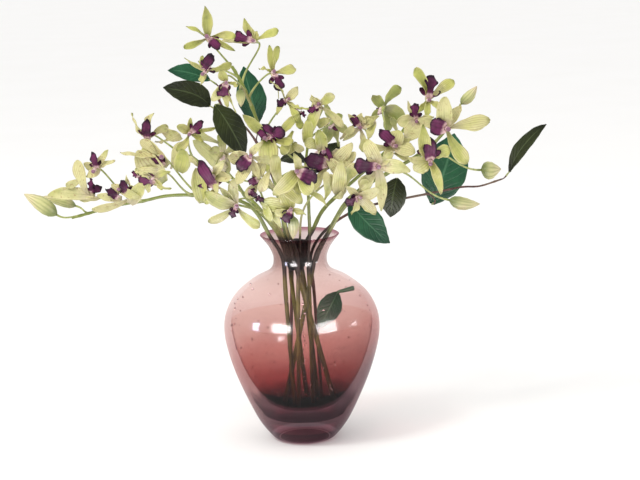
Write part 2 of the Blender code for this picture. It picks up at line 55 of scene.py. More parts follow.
# %% [markdown]
# ## The camera
# The photograph was taken from a little above the flowers, looking slightly down. The same view
# does two jobs here. It frames the render, and it turns a place in the photograph into a real
# place: a ray through the pixel meets an upright plane at a chosen depth behind the vase's middle.

# %% Camera
EYE = Vector((0.020, -1.550, 0.482))
LOOK_DOWN = math.radians(10.33)
VIEW_ROLL = math.radians(1.43)
FOCAL_PIXELS = 1604.0
FRAME_WIDTH, FRAME_HEIGHT = 640, 480
SENSOR_MM = 36.0
CLIP_NEAR, CLIP_FAR = 0.05, 100.0

VIEW_FORWARD = Vector((0, math.cos(LOOK_DOWN), -math.sin(LOOK_DOWN)))
VIEW_UP = Vector((0, math.sin(LOOK_DOWN), math.cos(LOOK_DOWN)))
VIEW_RIGHT = Vector((1, 0, 0))


def seen(pixel_x, pixel_y, depth):
    """The point that shows at this pixel, on the upright plane depth millimetres behind the middle."""
    across = pixel_x - FRAME_WIDTH / 2
    rise = FRAME_HEIGHT / 2 - pixel_y
    level = Matrix.Rotation(-VIEW_ROLL, 2) @ Vector((across, rise))
    ray = VIEW_FORWARD * FOCAL_PIXELS + VIEW_RIGHT * level.x + VIEW_UP * level.y
    return EYE + ray * ((depth * MM - EYE.y) / ray.y)


def place_camera():
    across = VIEW_RIGHT * math.cos(VIEW_ROLL) - VIEW_UP * math.sin(VIEW_ROLL)
    rise = VIEW_RIGHT * math.sin(VIEW_ROLL) + VIEW_UP * math.cos(VIEW_ROLL)
    lens = bpy.data.cameras.new("photo_camera")
    lens.sensor_width = SENSOR_MM
    lens.lens = FOCAL_PIXELS * SENSOR_MM / FRAME_WIDTH
    lens.clip_start, lens.clip_end = CLIP_NEAR, CLIP_FAR
    camera = bpy.data.objects.new("photo_camera", lens)
    turn = Matrix((across, rise, -VIEW_FORWARD)).transposed().to_4x4()
    camera.matrix_world = Matrix.Translation(EYE) @ turn
    bpy.context.scene.collection.objects.link(camera)
    bpy.context.scene.camera = camera
    print("lens", round(lens.lens, 1), "mm")


place_camera()

# %% [markdown]
# ## A small language for materials
# A material is a net of nodes. Writing it as sums is easier to read, so a Wire wraps the output of
# a node, and arithmetic on wires adds Math nodes. A Finish is one material under construction.

# %% Wires


class Wire:
    """The output of a shader node, which can be added, multiplied and so on."""

    def __init__(self, finish, socket):
        self.finish = finish
        self.socket = socket

    def maths(self, operation, first, second=None):
        values = {0: first} if second is None else {0: first, 1: second}
        return self.finish.node("Math", {"operation": operation}, values)

    def __add__(self, other):
        return self.maths("ADD", self, other)

    def __sub__(self, other):
        return self.maths("SUBTRACT", self, other)

    def __rsub__(self, other):
        return self.maths("SUBTRACT", other, self)

    def __mul__(self, other):
        return self.maths("MULTIPLY", self, other)

    def __pow__(self, other):
        return self.maths("POWER", self, other)

    __radd__ = __add__
    __rmul__ = __mul__

    def size(self):
        """The value without its sign."""
        return self.maths("ABSOLUTE", self)

    def step(self, low, high):
        """0 below low and 1 above high, with a smooth rise between. It falls where low is above high."""
        values = {"Value": self, "From Min": low, "From Max": high}
        return self.finish.node("MapRange", {"interpolation_type": "SMOOTHSTEP"}, values)

    def step_mm(self, low, high):
        """The same step between two places in millimetres."""
        return self.step(low * MM, high * MM)

    def swing(self, reach):
        """A noise of 0 to 1 as a push to either side, reach from end to end."""
        return (self - 0.5) * reach

    def ridges(self, power):
        """Waves of 0 to 1 along a rising value. A high power leaves thin ridges of them."""
        return (self.maths("SINE", self) * 0.5 + 0.5) ** power


print(Wire.__doc__)

# %% Finishes


class Finish:
    """One material under construction."""

    def __init__(self, name):
        self.material = bpy.data.materials.new(name)
        self.material.use_nodes = True
        self.tree = self.material.node_tree
        self.tree.nodes.clear()

    def node(self, kind, settings=None, values=None, output=0):
        """Adds a node, sets it up, then fills its sockets with numbers or links."""
        made = self.tree.nodes.new("ShaderNode" + kind)
        for key, value in (settings or {}).items():
            setattr(made, key, value)
        for key, value in (values or {}).items():
            if isinstance(value, Wire):
                self.tree.links.new(value.socket, made.inputs[key])
            else:
                made.inputs[key].default_value = value
        return Wire(self, made.outputs[output])

    def place(self):
        """Where on the object a point lies, in metres."""
        return self.node("TexCoord", output="Object")

    def stretched(self, scale, rotation=(0.0, 0.0, 0.0)):
        """The place, stretched and turned, for a pattern that is longer one way."""
        values = {"Vector": self.place(), "Rotation": rotation, "Scale": scale}
        return self.node("Mapping", values=values)

    def axes(self, vector):
        split = self.node("SeparateXYZ", values={0: vector})
        return [Wire(self, socket) for socket in split.socket.node.outputs]

    def height(self):
        """How high a point lies, in metres."""
        return self.axes(self.place())[2]

    def along_and_across(self):
        """The piece's own map: 0 to 1 from base to tip, and -1 to 1 from side to side."""
        u, v, _ = self.axes(self.node("UVMap", {"uv_map": "UVMap"}))
        return u, v * 2.0 - 1.0

    def noise(self, scale, detail=2.0, vector=None, rough=0.5):
        vector = vector or self.place()
        values = {"Vector": vector, "Scale": scale, "Detail": detail, "Roughness": rough}
        return self.node("TexNoise", values=values)

    def mix(self, share, first, second):
        values = {0: share, 6: first, 7: second}
        return self.node("Mix", {"data_type": "RGBA"}, values, output=2)

    def paint(self, tone, *layers):
        """Lays colours over a tone one after another, each with the share that it covers."""
        for share, over in layers:
            tone = self.mix(share, tone, over)
        return tone

    def bump(self, height, distance):
        return self.node("Bump", values={"Height": height, "Distance": distance, "Strength": 1.0})

    def principled(self, **values):
        sockets = {key.replace("_", " "): value for key, value in values.items()}
        return self.node("BsdfPrincipled", values=sockets)

    def show(self, shader):
        surface = self.tree.nodes.new("ShaderNodeOutputMaterial").inputs["Surface"]
        self.tree.links.new(shader.socket, surface)
        return self.material


def colour(red, green, blue):
    """A screen colour, 0 to 255, as the light that it stands for."""
    def light(value):
        value /= 255.0
        return value / 12.92 if value <= 0.04045 else ((value + 0.055) / 1.055) ** 2.4
    return (light(red), light(green), light(blue), 1.0)


print("a mid rose is", [round(c, 3) for c in colour(200, 130, 125)])

# %% [markdown]
# ## Floor and light
# The object stands on a plain pale floor that runs out of view. An even white sky lights it from
# all sides, as a light tent does, and one large soft lamp gives the petals a bright side. The lamp
# isn't mirrored by the glass; the glass gets small lamps of its own further on.

# %% Floor and light
FLOOR_REACH = 60.0
SKY_STRENGTH = 1.0
KEY_PLACE, KEY_AIM = Vector((-1.3, -1.1, 2.0)), Vector((0, 0, 0.30))
KEY_SIZE, KEY_WATTS, KEY_TINT = 0.6, 27.0, (1.0, 0.98, 0.94)


def pale_floor():
    finish = Finish("pale floor")
    tone = finish.mix(finish.noise(3.0, 3.0), colour(247, 246, 244), colour(251, 250, 249))
    shader = finish.principled(Base_Color=tone, Roughness=0.9)
    bm = bmesh.new()
    bmesh.ops.create_grid(bm, x_segments=4, y_segments=4, size=FLOOR_REACH)
    mesh = bpy.data.meshes.new("floor")
    bm.to_mesh(mesh)
    bm.free()
    mesh.materials.append(finish.show(shader))
    floor = bpy.data.objects.new("floor", mesh)
    bpy.context.scene.collection.objects.link(floor)


def lamp(name, place, aim, width, height, watts, tint, glossy):
    """A lamp that the camera doesn't see. It is either only mirrored, or lights without being mirrored."""
    light = bpy.data.lights.new(name, "AREA")
    light.shape = "RECTANGLE"
    light.size, light.size_y = width, height
    light.energy = watts
    light.color = tint
    made = bpy.data.objects.new(name, light)
    turn = (aim - place).to_track_quat("-Z", "Y").to_matrix().to_4x4()
    made.matrix_world = Matrix.Translation(place) @ turn
    made.visible_camera = False
    made.visible_glossy = glossy
    made.visible_diffuse = not glossy
    bpy.context.scene.collection.objects.link(made)


def sky():
    world = bpy.data.worlds.new("white tent")
    world.use_nodes = True
    background = world.node_tree.nodes["Background"]
    background.inputs["Color"].default_value = (1.0, 1.0, 1.0, 1.0)
    background.inputs["Strength"].default_value = SKY_STRENGTH
    bpy.context.scene.world = world


pale_floor()
sky()
lamp("key_lamp", KEY_PLACE, KEY_AIM, KEY_SIZE, KEY_SIZE, KEY_WATTS, KEY_TINT, False)
bpy.context.scene.view_settings.view_transform = "Standard"
print("key lamp", KEY_WATTS, "W")

# %% [markdown]
# ## Making and keeping a piece
# Every piece is a mesh that is shaped with bmesh, handed over to an object at the origin, and tied
# to the one body that the packed model has. A piece that stands for a packed solid hides it.

# %% Pieces


def new_mesh():
    """An empty bmesh whose corners can carry a mark: 0 to 1 from base to tip, and from side to side."""
    bm = bmesh.new()
    bm.verts.layers.float_vector.new("mark")
    return bm


def keep(bm, name, finishes, instead_of=()):
    """Turns a bmesh into a smooth piece that rides on the packed body. Its marks become its map."""
    mark = bm.verts.layers.float_vector.get("mark")
    if mark:
        uv = bm.loops.layers.uv.new("UVMap")
        for face in bm.faces:
            for loop in face.loops:
                loop[uv].uv = loop.vert[mark].xy
        bm.verts.layers.float_vector.remove(mark)
    mesh = bpy.data.meshes.new(name)
    bm.to_mesh(mesh)
    bm.free()
    for finish in finishes:
        mesh.materials.append(finish)
    mesh.shade_smooth()
    piece = bpy.data.objects.new(name, mesh)
    bpy.context.scene.collection.objects.link(piece)
    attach(piece, "root")
    if instead_of:
        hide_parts(*instead_of)
    return piece


print("pieces are kept in", bpy.context.scene.collection.name)

# %% Curves and turned shapes


def eased(low, high, t):
    return low + (high - low) * t


def smooth_curve(points, steps):
    """A Catmull-Rom curve through the points, with so many steps from each to the next."""
    ends = [points[0] * 2 - points[1]] + list(points) + [points[-1] * 2 - points[-2]]
    curve = []
    for before, start, end, after in zip(ends, ends[1:], ends[2:], ends[3:]):
        for step in range(steps):
            t = step / steps
            curve.append(
                0.5 * (2 * start + (end - before) * t
                       + (2 * before - 5 * start + 4 * end - after) * t ** 2
                       + (3 * start - before - 3 * end + after) * t ** 3)
            )
    curve.append(points[-1].copy())
    return curve


def flat_curve(rows, steps):
    """A smooth curve in the XZ plane through (radius, height) rows in millimetres."""
    return smooth_curve([Vector((radius * MM, 0, height * MM)) for radius, height in rows], steps)


def spun(bm, points, sides, merge):
    """Spins a line that runs from axis to axis about Z, closes it, and returns its faces."""
    old_verts, old_faces = set(bm.verts), set(bm.faces)
    verts = [bm.verts.new(point) for point in points]
    edges = [bm.edges.new(pair) for pair in zip(verts, verts[1:])]
    bmesh.ops.spin(
        bm, geom=verts + edges, axis=(0, 0, 1), cent=(0, 0, 0),
        angle=math.tau, steps=sides, use_merge=True,
    )
    corners = [vert for vert in bm.verts if vert not in old_verts]
    bmesh.ops.remove_doubles(bm, verts=corners, dist=merge)
    faces = [face for face in bm.faces if face not in old_faces]
    bmesh.ops.recalc_face_normals(bm, faces=faces)
    return faces


WELD = 0.001 * MM


def turned(profile, sides):
    """A closed round solid of its own, spun from a profile."""
    bm = bmesh.new()
    spun(bm, profile, sides, WELD)
    return bm


print("a quarter of the way from 0 to 8 is", eased(0, 8, 0.25))

# %% [markdown]
# ## The vase
# Blown glass is turned on the iron, so its shape is a profile spun round an axis. The wall is thin
# at the lip and gets thicker downwards, and the base is a solid lump with a smoky core just below
# the hollow. The glass is pale pink at the shoulder, rose in the middle and deep plum at the foot.
#
# Clear glass is costly to trace, and its look here is mostly its colour. So each wall is a tinted
# film: a see-through shader whose tint multiplies what lies behind, once for every wall that a
# line of sight crosses. A thin mirror layer on top grows stronger where the glass is seen along.

# %% Vase profile
VASE_OUTSIDE = (
    (0.0, 1.2), (18.0, 1.0), (24.5, 0.0), (28.5, 0.8), (33.5, 4.6), (45.0, 20.0), (57.5, 45.5),
    (67.5, 70.0), (74.5, 94.0), (77.0, 112.0), (74.8, 129.0), (65.5, 146.5), (48.0, 161.5), (30.5, 171.0),
    (26.2, 182.0), (30.0, 194.0), (38.2, 205.0), (38.6, 205.9),
)
VASE_INSIDE = (
    (38.0, 206.3), (37.1, 205.6), (28.4, 194.6), (24.0, 182.0), (27.6, 168.6), (45.6, 158.4),
    (61.4, 143.4), (69.0, 126.5), (69.4, 112.0), (66.0, 95.0), (57.0, 70.0), (43.0, 48.0),
    (26.0, 36.0), (0.0, 32.0),
)
CORE = (
    (0.0, 29.5), (24.0, 33.0), (35.0, 38.0), (45.0, 47.0), (50.0, 54.0), (54.0, 54.0), (52.5, 44.0),
    (43.0, 30.0), (36.0, 24.5), (0.0, 23.5),
)
GLASS_SIDES = 128
GLASS_STEPS, CORE_STEPS = 6, 4
WATER_LEVEL = 120.0

outer_wall = flat_curve(VASE_OUTSIDE, GLASS_STEPS)
inner_wall = flat_curve(VASE_INSIDE, GLASS_STEPS)


def inner_radius(height):
    """The radius of the glass's inner face at a height, in metres."""
    for high, low in zip(inner_wall, inner_wall[1:]):
        if low.z <= height <= high.z:
            return eased(low.x, high.x, (height - low.z) / (high.z - low.z))
    return 0.0


print("widest inside", round(max(p.x for p in inner_wall) / MM, 1), "mm")

# %% Films and gloss
TINTS = {
    "foot": (0.37, 0.26, 0.29),
    "plum": (0.44, 0.33, 0.34),
    "wine": (0.65, 0.435, 0.425),
    "rose": (0.765, 0.60, 0.585),
    "shoulder": (0.905, 0.79, 0.77),
    "neck": (0.585, 0.47, 0.45),
    "right of neck": (0.69, 0.585, 0.575),
    "lip": (0.42, 0.22, 0.26),
    "strip": (0.78, 0.36, 0.42),
    "sole": (0.62, 0.53, 0.58),
    "lining": (0.99, 0.96, 0.95),
    "floor": (0.86, 0.60, 0.60),
    "contour": (0.74, 0.56, 0.56),
    "clear": (1.0, 1.0, 1.0),
    "core": (0.52, 0.45, 0.50),
    "deep water": (0.80, 0.42, 0.45),
    "middle water": (0.89, 0.63, 0.60),
    "top water": (0.98, 0.94, 0.92),
    "bubble": (0.52, 0.34, 0.34),
}
GLOSS_TINT = (0.96, 0.94, 0.96, 1.0)
GLOSS_ROUGHNESS = 0.16
GLOSS_POWER = 5.0


def film(finish, name):
    """A see-through shader that multiplies what lies behind it by a tint."""
    return finish.node("BsdfTransparent", values={"Color": (*TINTS[name], 1.0)})


def layered(finish, shader, *layers):
    """Lays films or other shaders over a first one, each with the share that it covers."""
    for share, over in layers:
        if not isinstance(over, Wire):
            over = film(finish, over)
        shader = finish.node("MixShader", values={0: share, 1: shader, 2: over})
    return shader


def edge_on(finish):
    """0 where a face is seen straight on, 1 where it is seen along."""
    return finish.node("LayerWeight", values={"Blend": 0.5}, output="Facing")


def with_gloss(finish, shader, least, most, ripple, depth):
    """Lays a thin mirror over a film, on the side of the face that looks outwards.

    It mirrors least where the face is seen straight on, and most where it is seen along.
    """
    outward = 1.0 - finish.node("NewGeometry", output="Backfacing")
    share = edge_on(finish) ** GLOSS_POWER * (most - least) + least
    normal = finish.bump(ripple, depth * MM)
    values = {"Color": GLOSS_TINT, "Roughness": GLOSS_ROUGHNESS, "Normal": normal}
    gloss = finish.node("BsdfGlossy", values=values)
    return finish.show(layered(finish, shader, (share * outward, gloss)))


print(len(TINTS), "tints")

# %% Glass finishes
# The heights in millimetres between which each tint takes over from the one before
BANDS = ((14, 46, "plum"), (34, 74, "wine"), (66, 112, "rose"), (104, 150, "shoulder"))
NECK_BAND, LIP_BAND, SOLE_BAND = (156, 182), (201, 205), (5, 3)
STRIP_BOTTOM, STRIP_TOP, STRIP_SIDES = (12, 15), (26, 22), (34, 24)
HOLLOW_FLOOR, HOLLOW_RIM, CORE_BAND = (78, 44), (128, 112), (48, 34)
# Likewise the places in millimetres to the right of the vase's middle
LEFT_SIDE, FAR_RIGHT, NECK_SIDES = (10, -70), (46, 72), (-18, 16)
# How much higher the tints reach to the left, at the far right and all round, and from what height. The
# reach at the right is painted shade on the side away from the key lamp
LEFT_RISE, RIGHT_SHADE_RISE, WHOLE_RISE, RISE_BAND = 22 * MM, 12 * MM, 4 * MM, (34, 80)
STREAK_REACH, RIGHT_SHADE_SLOPE, STRIP_SHARE = 46 * MM, 0.32, 0.6
CONTOUR_EDGE = (0.70, 1.0)


def shares_of(level, bands):
    """The share of each tint of some bands at a level, with the tint's name."""
    return [(level.step_mm(low, high), name) for low, high, name in bands]


def glass_finish():
    """Tints that follow the height and have streaks. They reach higher on the right than on the left, as
    painted shade.
    """
    finish = Finish("plum glass")
    side, _, height = finish.axes(finish.place())
    streak = finish.noise(11.0, 4.0, vector=finish.stretched((1.0, 1.0, 2.4), (0.0, 0.5, 0.0)))
    left, far_right = side.step_mm(*LEFT_SIDE), side.step_mm(*FAR_RIGHT)
    rise = (left * LEFT_RISE + far_right * RIGHT_SHADE_RISE + WHOLE_RISE) * height.step_mm(*RISE_BAND)
    # The tints sink towards the right: painted shade on the side away from the key lamp
    level = height + streak.swing(STREAK_REACH) - side * RIGHT_SHADE_SLOPE - rise
    bands = shares_of(level, BANDS)
    neck = layered(finish, film(finish, "neck"), (side.step_mm(*NECK_SIDES), "right of neck"))
    strip = height.step_mm(*STRIP_BOTTOM) * height.step_mm(*STRIP_TOP)
    strip = strip * side.size().step_mm(*STRIP_SIDES) * STRIP_SHARE
    shader = layered(
        finish, film(finish, "foot"), *bands, (height.step_mm(*NECK_BAND), neck),
        (height.step_mm(*LIP_BAND), "lip"), (strip, "strip"), (height.step_mm(*SOLE_BAND), "sole"))
    ripple = finish.noise(26.0, 2.0) + finish.noise(7.0, 1.0) * 2.0 + finish.noise(150.0, 3.0) * 0.45
    return with_gloss(finish, shader, least=0.020, most=0.45, ripple=ripple, depth=0.22)


def lining_finish():
    """The face of the hollow: almost clear, rose at its floor, and darker where it is seen along."""
    finish = Finish("glass lining")
    height = finish.height()
    rim = edge_on(finish).step(*CONTOUR_EDGE) * height.step_mm(*HOLLOW_RIM)
    floor = height.step_mm(*HOLLOW_FLOOR)
    shader = layered(finish, film(finish, "lining"), (floor, "floor"), (rim, "contour"))
    return with_gloss(finish, shader, least=0.0, most=0.10, ripple=finish.noise(40.0, 3.0), depth=0.4)


def core_finish():
    finish = Finish("smoky core")
    level = finish.height() + finish.noise(45.0, 4.0).swing(26 * MM)
    return finish.show(layered(finish, film(finish, "clear"), (level.step_mm(*CORE_BAND), "core")))


plum_glass = glass_finish()
lining = lining_finish()
print("glass finishes:", plum_glass.name, "and", lining.name)

# %% Vase pieces


def line_hollow(bm):
    """Gives the faces of the hollow the second finish."""
    for face in bm.faces:
        middle = face.calc_center_median()
        aim = Vector((0, 0, max(middle.z, WATER_LEVEL * MM))) - middle
        face.material_index = 1 if face.normal.dot(aim) > 0 else 0
    return bm


vase_body = line_hollow(turned(outer_wall + inner_wall, GLASS_SIDES))
vase = keep(vase_body, "vase_glass", [plum_glass, lining], ["vase"])
core_body = turned(flat_curve(CORE, CORE_STEPS), GLASS_SIDES)
core = keep(core_body, "vase_core", [core_finish()])
print("vase glass", len(vase.data.polygons), "faces, its core", len(core.data.polygons))

# %% [markdown]
# ## Window glints
# Glass is recognised by the small bright windows it mirrors. For each glint the line of sight is
# followed to the glass, turned about the surface there, and a small lamp is put where it leads.

# %% Glints
GLINT_REACH = 0.15
SIGHT_START, SIGHT_STEP, SIGHT_STEPS = -90.0, 0.4, 240
WINDOW_BLUE, WINDOW_WHITE = (0.66, 0.74, 1.0), (1.0, 0.98, 0.97)
GLINTS = (
    # pixel across, pixel down, lamp width and height in metres, brightness, tint
    (256, 326, 0.038, 0.044, 54.0, WINDOW_BLUE),
    (281, 328, 0.092, 0.060, 50.0, WINDOW_WHITE),
    (281, 338, 0.034, 0.026, 32.0, WINDOW_WHITE),
    (327, 328, 0.092, 0.074, 40.0, WINDOW_WHITE),
    (354, 325, 0.036, 0.022, 24.0, WINDOW_WHITE),
)


def outside_at(height):
    """The radius and the outward slope of the glass at a height."""
    for low, high in zip(outer_wall, outer_wall[1:]):
        if high.z > low.z and low.z <= height <= high.z:
            share = (height - low.z) / (high.z - low.z)
            return eased(low.x, high.x, share), (high.x - low.x) / (high.z - low.z)
    return 0.0, 0.0


def glint_lamp(index, row):
    pixel_x, pixel_y, width, height, brightness, tint = row
    for step in range(SIGHT_STEPS):
        spot = seen(pixel_x, pixel_y, SIGHT_START + step * SIGHT_STEP)
        radius, slope = outside_at(spot.z)
        if math.hypot(spot.x, spot.y) <= radius:
            break
    normal = Vector((spot.x, spot.y, -slope * radius)).normalized()
    sight = (EYE - spot).normalized()
    way = normal * 2 * normal.dot(sight) - sight
    watts = brightness * math.pi * width * height
    lamp(f"glint_{index}", spot + way * GLINT_REACH, spot, width, height, watts, tint, True)


for index, row in enumerate(GLINTS):
    glint_lamp(index, row)
print(len(GLINTS), "glints")

# %% [markdown]
# ## The water
# The water fills the thick-walled hollow to a little above its widest part. It is a turned solid
# that follows the inner wall, and its top climbs the glass in a small rim, as water does.

# %% Water
# The heights in millimetres between which each tint takes over from the one before
WATER_BANDS = ((42, 72, "middle water"), (74, 106, "top water"))
WATER_SKIN = 0.45
WATER_FLOOR = 27.0
MENISCUS, MENISCUS_WIDTH, MENISCUS_STEPS = 1.6, 4.0, 5


def water_finish():
    """Wine at the bottom, where the line of sight crosses most of it, and nearly clear at the top."""
    finish = Finish("vase water")
    level = finish.height() + finish.noise(22.0, 3.0).swing(18 * MM)
    shader = layered(finish, film(finish, "deep water"), *shares_of(level, WATER_BANDS))
    return with_gloss(finish, shader, least=0.0, most=0.12, ripple=finish.noise(60.0, 2.0), depth=0.2)


def water_profile():
    """From the middle of the surface, up the small rim and down the wall to the floor."""
    top = (WATER_LEVEL + MENISCUS) * MM
    skin = WATER_SKIN * MM
    wall = [Vector((inner_radius(top), 0, top))] + [point for point in inner_wall if point.z < top]
    inset = []
    for point in wall:
        lift = skin if point.x < WATER_FLOOR * MM else 0.0
        inset.append(Vector((max(point.x - skin, 0.0), 0, point.z + lift)))
    surface = [Vector((0, 0, WATER_LEVEL * MM))]
    for step in range(1, MENISCUS_STEPS):
        share = step / MENISCUS_STEPS
        reach = inset[0].x - MENISCUS_WIDTH * MM * (1 - share)
        surface.append(Vector((reach, 0, (WATER_LEVEL + MENISCUS * share ** 3) * MM)))
    return surface + inset


water_body = turned(water_profile(), GLASS_SIDES)
water = keep(water_body, "vase_water", [water_finish()], ["water"])
print("water", len(water.data.polygons), "faces")

# %% [markdown]
# ## Seeds and droplets
# Hand-made glass is full of seeds, the small bubbles that never left the melt, and fresh water
# leaves its own bubbles on the wall. They are tiny spheres with a few dozen faces each, sown with
# a fixed seed so that they come out the same every time.

# %% Seeds and droplets
SEED_COUNT = 150
SEED_HEIGHTS, SEED_OFFSETS, SEED_RADII = (50, 158), (-1.2, 1.6), (0.35, 1.05)
CHAIN_TOP, CHAIN_FOOT, CHAIN_DEPTH = (303.5, 300), (304.5, 395), -34
CHAIN_BEADS = 22
BEAD_SWAY, BEAD_RADII = 1.3, (0.7, 1.4)
TALLER = 1.25


def droplet_finish():
    finish = Finish("seed bubble")
    shader = film(finish, "bubble")
    return with_gloss(finish, shader, least=0.34, most=0.5, ripple=finish.noise(400.0), depth=0.05)


def sow_droplets():
    draw = random.Random(7)
    bm = bmesh.new()
    spots = []
    for _ in range(SEED_COUNT):
        height = draw.uniform(*SEED_HEIGHTS) * MM
        turn = draw.uniform(0, math.tau)
        reach = inner_radius(height) + draw.uniform(*SEED_OFFSETS) * MM
        place = Vector((reach * math.cos(turn), reach * math.sin(turn), height))
        spots.append((place, draw.uniform(*SEED_RADII) * MM))
    for bead in range(CHAIN_BEADS):
        share = bead / (CHAIN_BEADS - 1)
        pixel_x = eased(CHAIN_TOP[0], CHAIN_FOOT[0], share) + draw.uniform(-BEAD_SWAY, BEAD_SWAY)
        pixel_y = eased(CHAIN_TOP[1], CHAIN_FOOT[1], share)
        spots.append((seen(pixel_x, pixel_y, CHAIN_DEPTH), draw.uniform(*BEAD_RADII) * MM))
    for place, radius in spots:
        shape = Matrix.Translation(place) @ Matrix.Diagonal((radius, radius, radius * TALLER, 1.0))
        bmesh.ops.create_icosphere(bm, subdivisions=1, radius=1.0, matrix=shape)
    return keep(bm, "glass_seeds", [droplet_finish()])


seeds = sow_droplets()
print(SEED_COUNT + CHAIN_BEADS, "seeds,", len(seeds.data.polygons), "faces")

# %% [markdown]
# ## Growing a tube
# A stem is a tube whose end face is extruded again and again along a path. The ring keeps its
# corners in order, so the tube never twists, and each ring has its own radius.

# %% Tubes


def ways_along(points):
    """The direction of travel at each point of a path."""
    ways = []
    for i in range(len(points)):
        before, after = points[max(i - 1, 0)], points[min(i + 1, len(points) - 1)]
        ways.append((after - before).normalized())
    return ways


def grow_tube(bm, points, radii, sides, slot=0):
    """A closed tube along the points, with a radius at each. Its mark runs from 0 to 1 along it."""
    mark = bm.verts.layers.float_vector["mark"]
    old_faces = set(bm.faces)
    ways = ways_along(points)
    start = Vector((0, 0, 1)).rotation_difference(ways[0]).to_matrix().to_4x4()
    bmesh.ops.create_cone(
        bm, cap_ends=True, segments=sides, radius1=radii[0], radius2=radii[1],
        depth=(points[1] - points[0]).length,
        matrix=Matrix.Translation((points[0] + points[1]) / 2) @ start,
    )
    fresh = [face for face in bm.faces if face not in old_faces]
    face = min(fresh, key=lambda f: (f.calc_center_median() - points[1]).length)
    ring, centre, way = list(face.verts), points[1], ways[0]
    for vert in {vert for f in fresh for vert in f.verts}:
        vert[mark] = (0.0, 0.5, 0.0)
    for vert in ring:
        vert[mark] = (1 / (len(points) - 1), 0.5, 0.0)
    for index in range(2, len(points)):
        turn = way.rotation_difference(ways[index])
        copy = bmesh.ops.extrude_discrete_faces(bm, faces=[face])["faces"][0]
        new_ring = [min(copy.verts, key=lambda v: (v.co - old.co).length_squared) for old in ring]
        for vert in new_ring:
            spoke = turn @ (vert.co - centre)
            spoke -= ways[index] * spoke.dot(ways[index])
            vert.co = points[index] + spoke.normalized() * radii[index]
            vert[mark] = (index / (len(points) - 1), 0.5, 0.0)
        face, ring, centre, way = copy, new_ring, points[index], ways[index]
    for new in bm.faces:
        if new not in old_faces:
            new.material_index = slot


STEM_SIDES, STALK_SIDES = 12, 8


def tapering(path, thick, thin):
    """A radius for each point of a path, from thick to thin millimetres."""
    last = len(path) - 1
    return [eased(thick, thin, step / last) * MM for step in range(last + 1)]


print("three rings that taper from 2 mm to 1 mm:", tapering(range(3), 2.0, 1.0))

# %% [markdown]
# ## The stems
# Seven orchid stems and two leaf twigs stand in the vase, cross in its neck and fan out above the
# lip. Each flower stalk leaves its stem at a small swelling and arrives behind its flower. The
# routes are places in the photograph, each with a depth behind the vase's middle.

# %% Stem routes
LIP_LEVEL, NECK_LEVEL, WAIST_LEVEL = 207.0, 183.0, 145.0
COARSE_STEPS = 3
FINE_STEPS = 4
STEMS = {
    "left_spray_stem": {
        "foot": (-9, -4), "neck": (-17.0, -7), "lip": (-29, -11), "radius": (2.2, 1.2),
        "route": ((256, 212, -16), (240, 201, -24), (216, 197, -30), (192, 195, -32),
                  (166, 196, -32), (143, 201, -30), (119, 205, -28), (97, 211, -27), (72, 218, -26)),
    },
    "tall_left_spray_stem": {
        "foot": (30, -6), "neck": (-6, -11), "lip": (-13, -15), "radius": (2.5, 1.3),
        "route": ((281, 205, -16), (272, 168, -12), (263, 138, -6), (252, 107, 0),
                  (242, 84, 2), (232, 66, 2)),
    },
    "back_left_spray_stem": {
        "foot": (3, 20), "neck": (-12, 5), "lip": (-22, 10), "radius": (2.2, 1.3),
        "route": ((259, 208, 22), (240, 190, 32), (216, 174, 38), (193, 158, 38), (173, 149, 34)),
    },
    "middle_spray_stem": {
        "foot": (9, 2), "neck": (8, -3), "lip": (10, -4), "radius": (2.0, 1.2),
        "route": ((309, 214, -5), (308, 190, -4), (306, 164, 0), (309, 140, 4), (316, 122, 6)),
    },
    "back_right_spray_stem": {
        "foot": (14, 18), "neck": (1, 9), "lip": (13, 14), "radius": (2.4, 1.3),
        "route": ((323, 210, 20), (341, 192, 26), (360, 175, 32), (381, 156, 36), (399, 136, 38),
                  (412, 118, 38)),
    },
    "right_spray_stem": {
        "foot": (-19, 4), "neck": (15.5, 4), "lip": (29, 5), "radius": (2.4, 1.3),
        "route": ((344, 205, 2), (362, 188, -2), (386, 174, -4), (410, 160, -4), (434, 143, -2),
                  (452, 122, 4), (459, 110, 6)),
    },
    "front_spray_stem": {
        "foot": (-5, -17), "neck": (-2, -18), "lip": (-7, -27), "radius": (2.1, 1.2),
        "route": ((288, 214, -36), (282, 194, -46), (276, 176, -52), (268, 160, -54)),
    },
    "right_leaf_twig": {
        "foot": (18, 12), "neck": (11, 14), "lip": (27, 19), "radius": (1.7, 0.8),
        "route": ((352, 212, 16), (376, 204, 8), (406, 198, 8), (437, 192, 10), (462, 187, 10),
                  (480, 186, 8), (502, 179, 4)),
    },
    "left_leaf_twig": {
        "foot": (-14, 22), "neck": (-8, 15), "lip": (-13, 26), "radius": (1.7, 0.9),
        "route": ((281, 204, 40), (272, 176, 48), (261, 150, 50), (246, 128, 46), (228, 113, 40),
                  (217, 98, 36)),
    },
}


def stem_points(name):
    """The stem's own points, from its cut end on the vase's floor to its tip."""
    spec = STEMS[name]
    foot, neck, lip = (Vector(spec[key]) * MM for key in ("foot", "neck", "lip"))
    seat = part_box(name)[0][2]
    share = (NECK_LEVEL - WAIST_LEVEL) * MM / (NECK_LEVEL * MM - seat)
    waist = neck.lerp(foot, share)
    points = [
        Vector((foot.x, foot.y, seat)),
        Vector((waist.x, waist.y, WAIST_LEVEL * MM)),
        Vector((neck.x, neck.y, NECK_LEVEL * MM)),
        Vector((lip.x, lip.y, LIP_LEVEL * MM)),
    ]
    return points + [seen(*place) for place in spec["route"]]


print(len(STEMS), "stems")

# %% Stem and twig finishes
# Painted shade: near black for the stems in the neck, darker for the stems deep in the water
NECK_SHADE, DEEP_SHADE = colour(20, 15, 16), colour(40, 30, 28)
# In millimetres of height: where the painted neck shade starts and stops, fresh skin starts, and the
# painted shade deep in the water sets in
SHADE_START, SHADE_STOP, FRESH_BAND, DEEP_BAND = (158, 172), (212, 204), (206, 232), (120, 60)


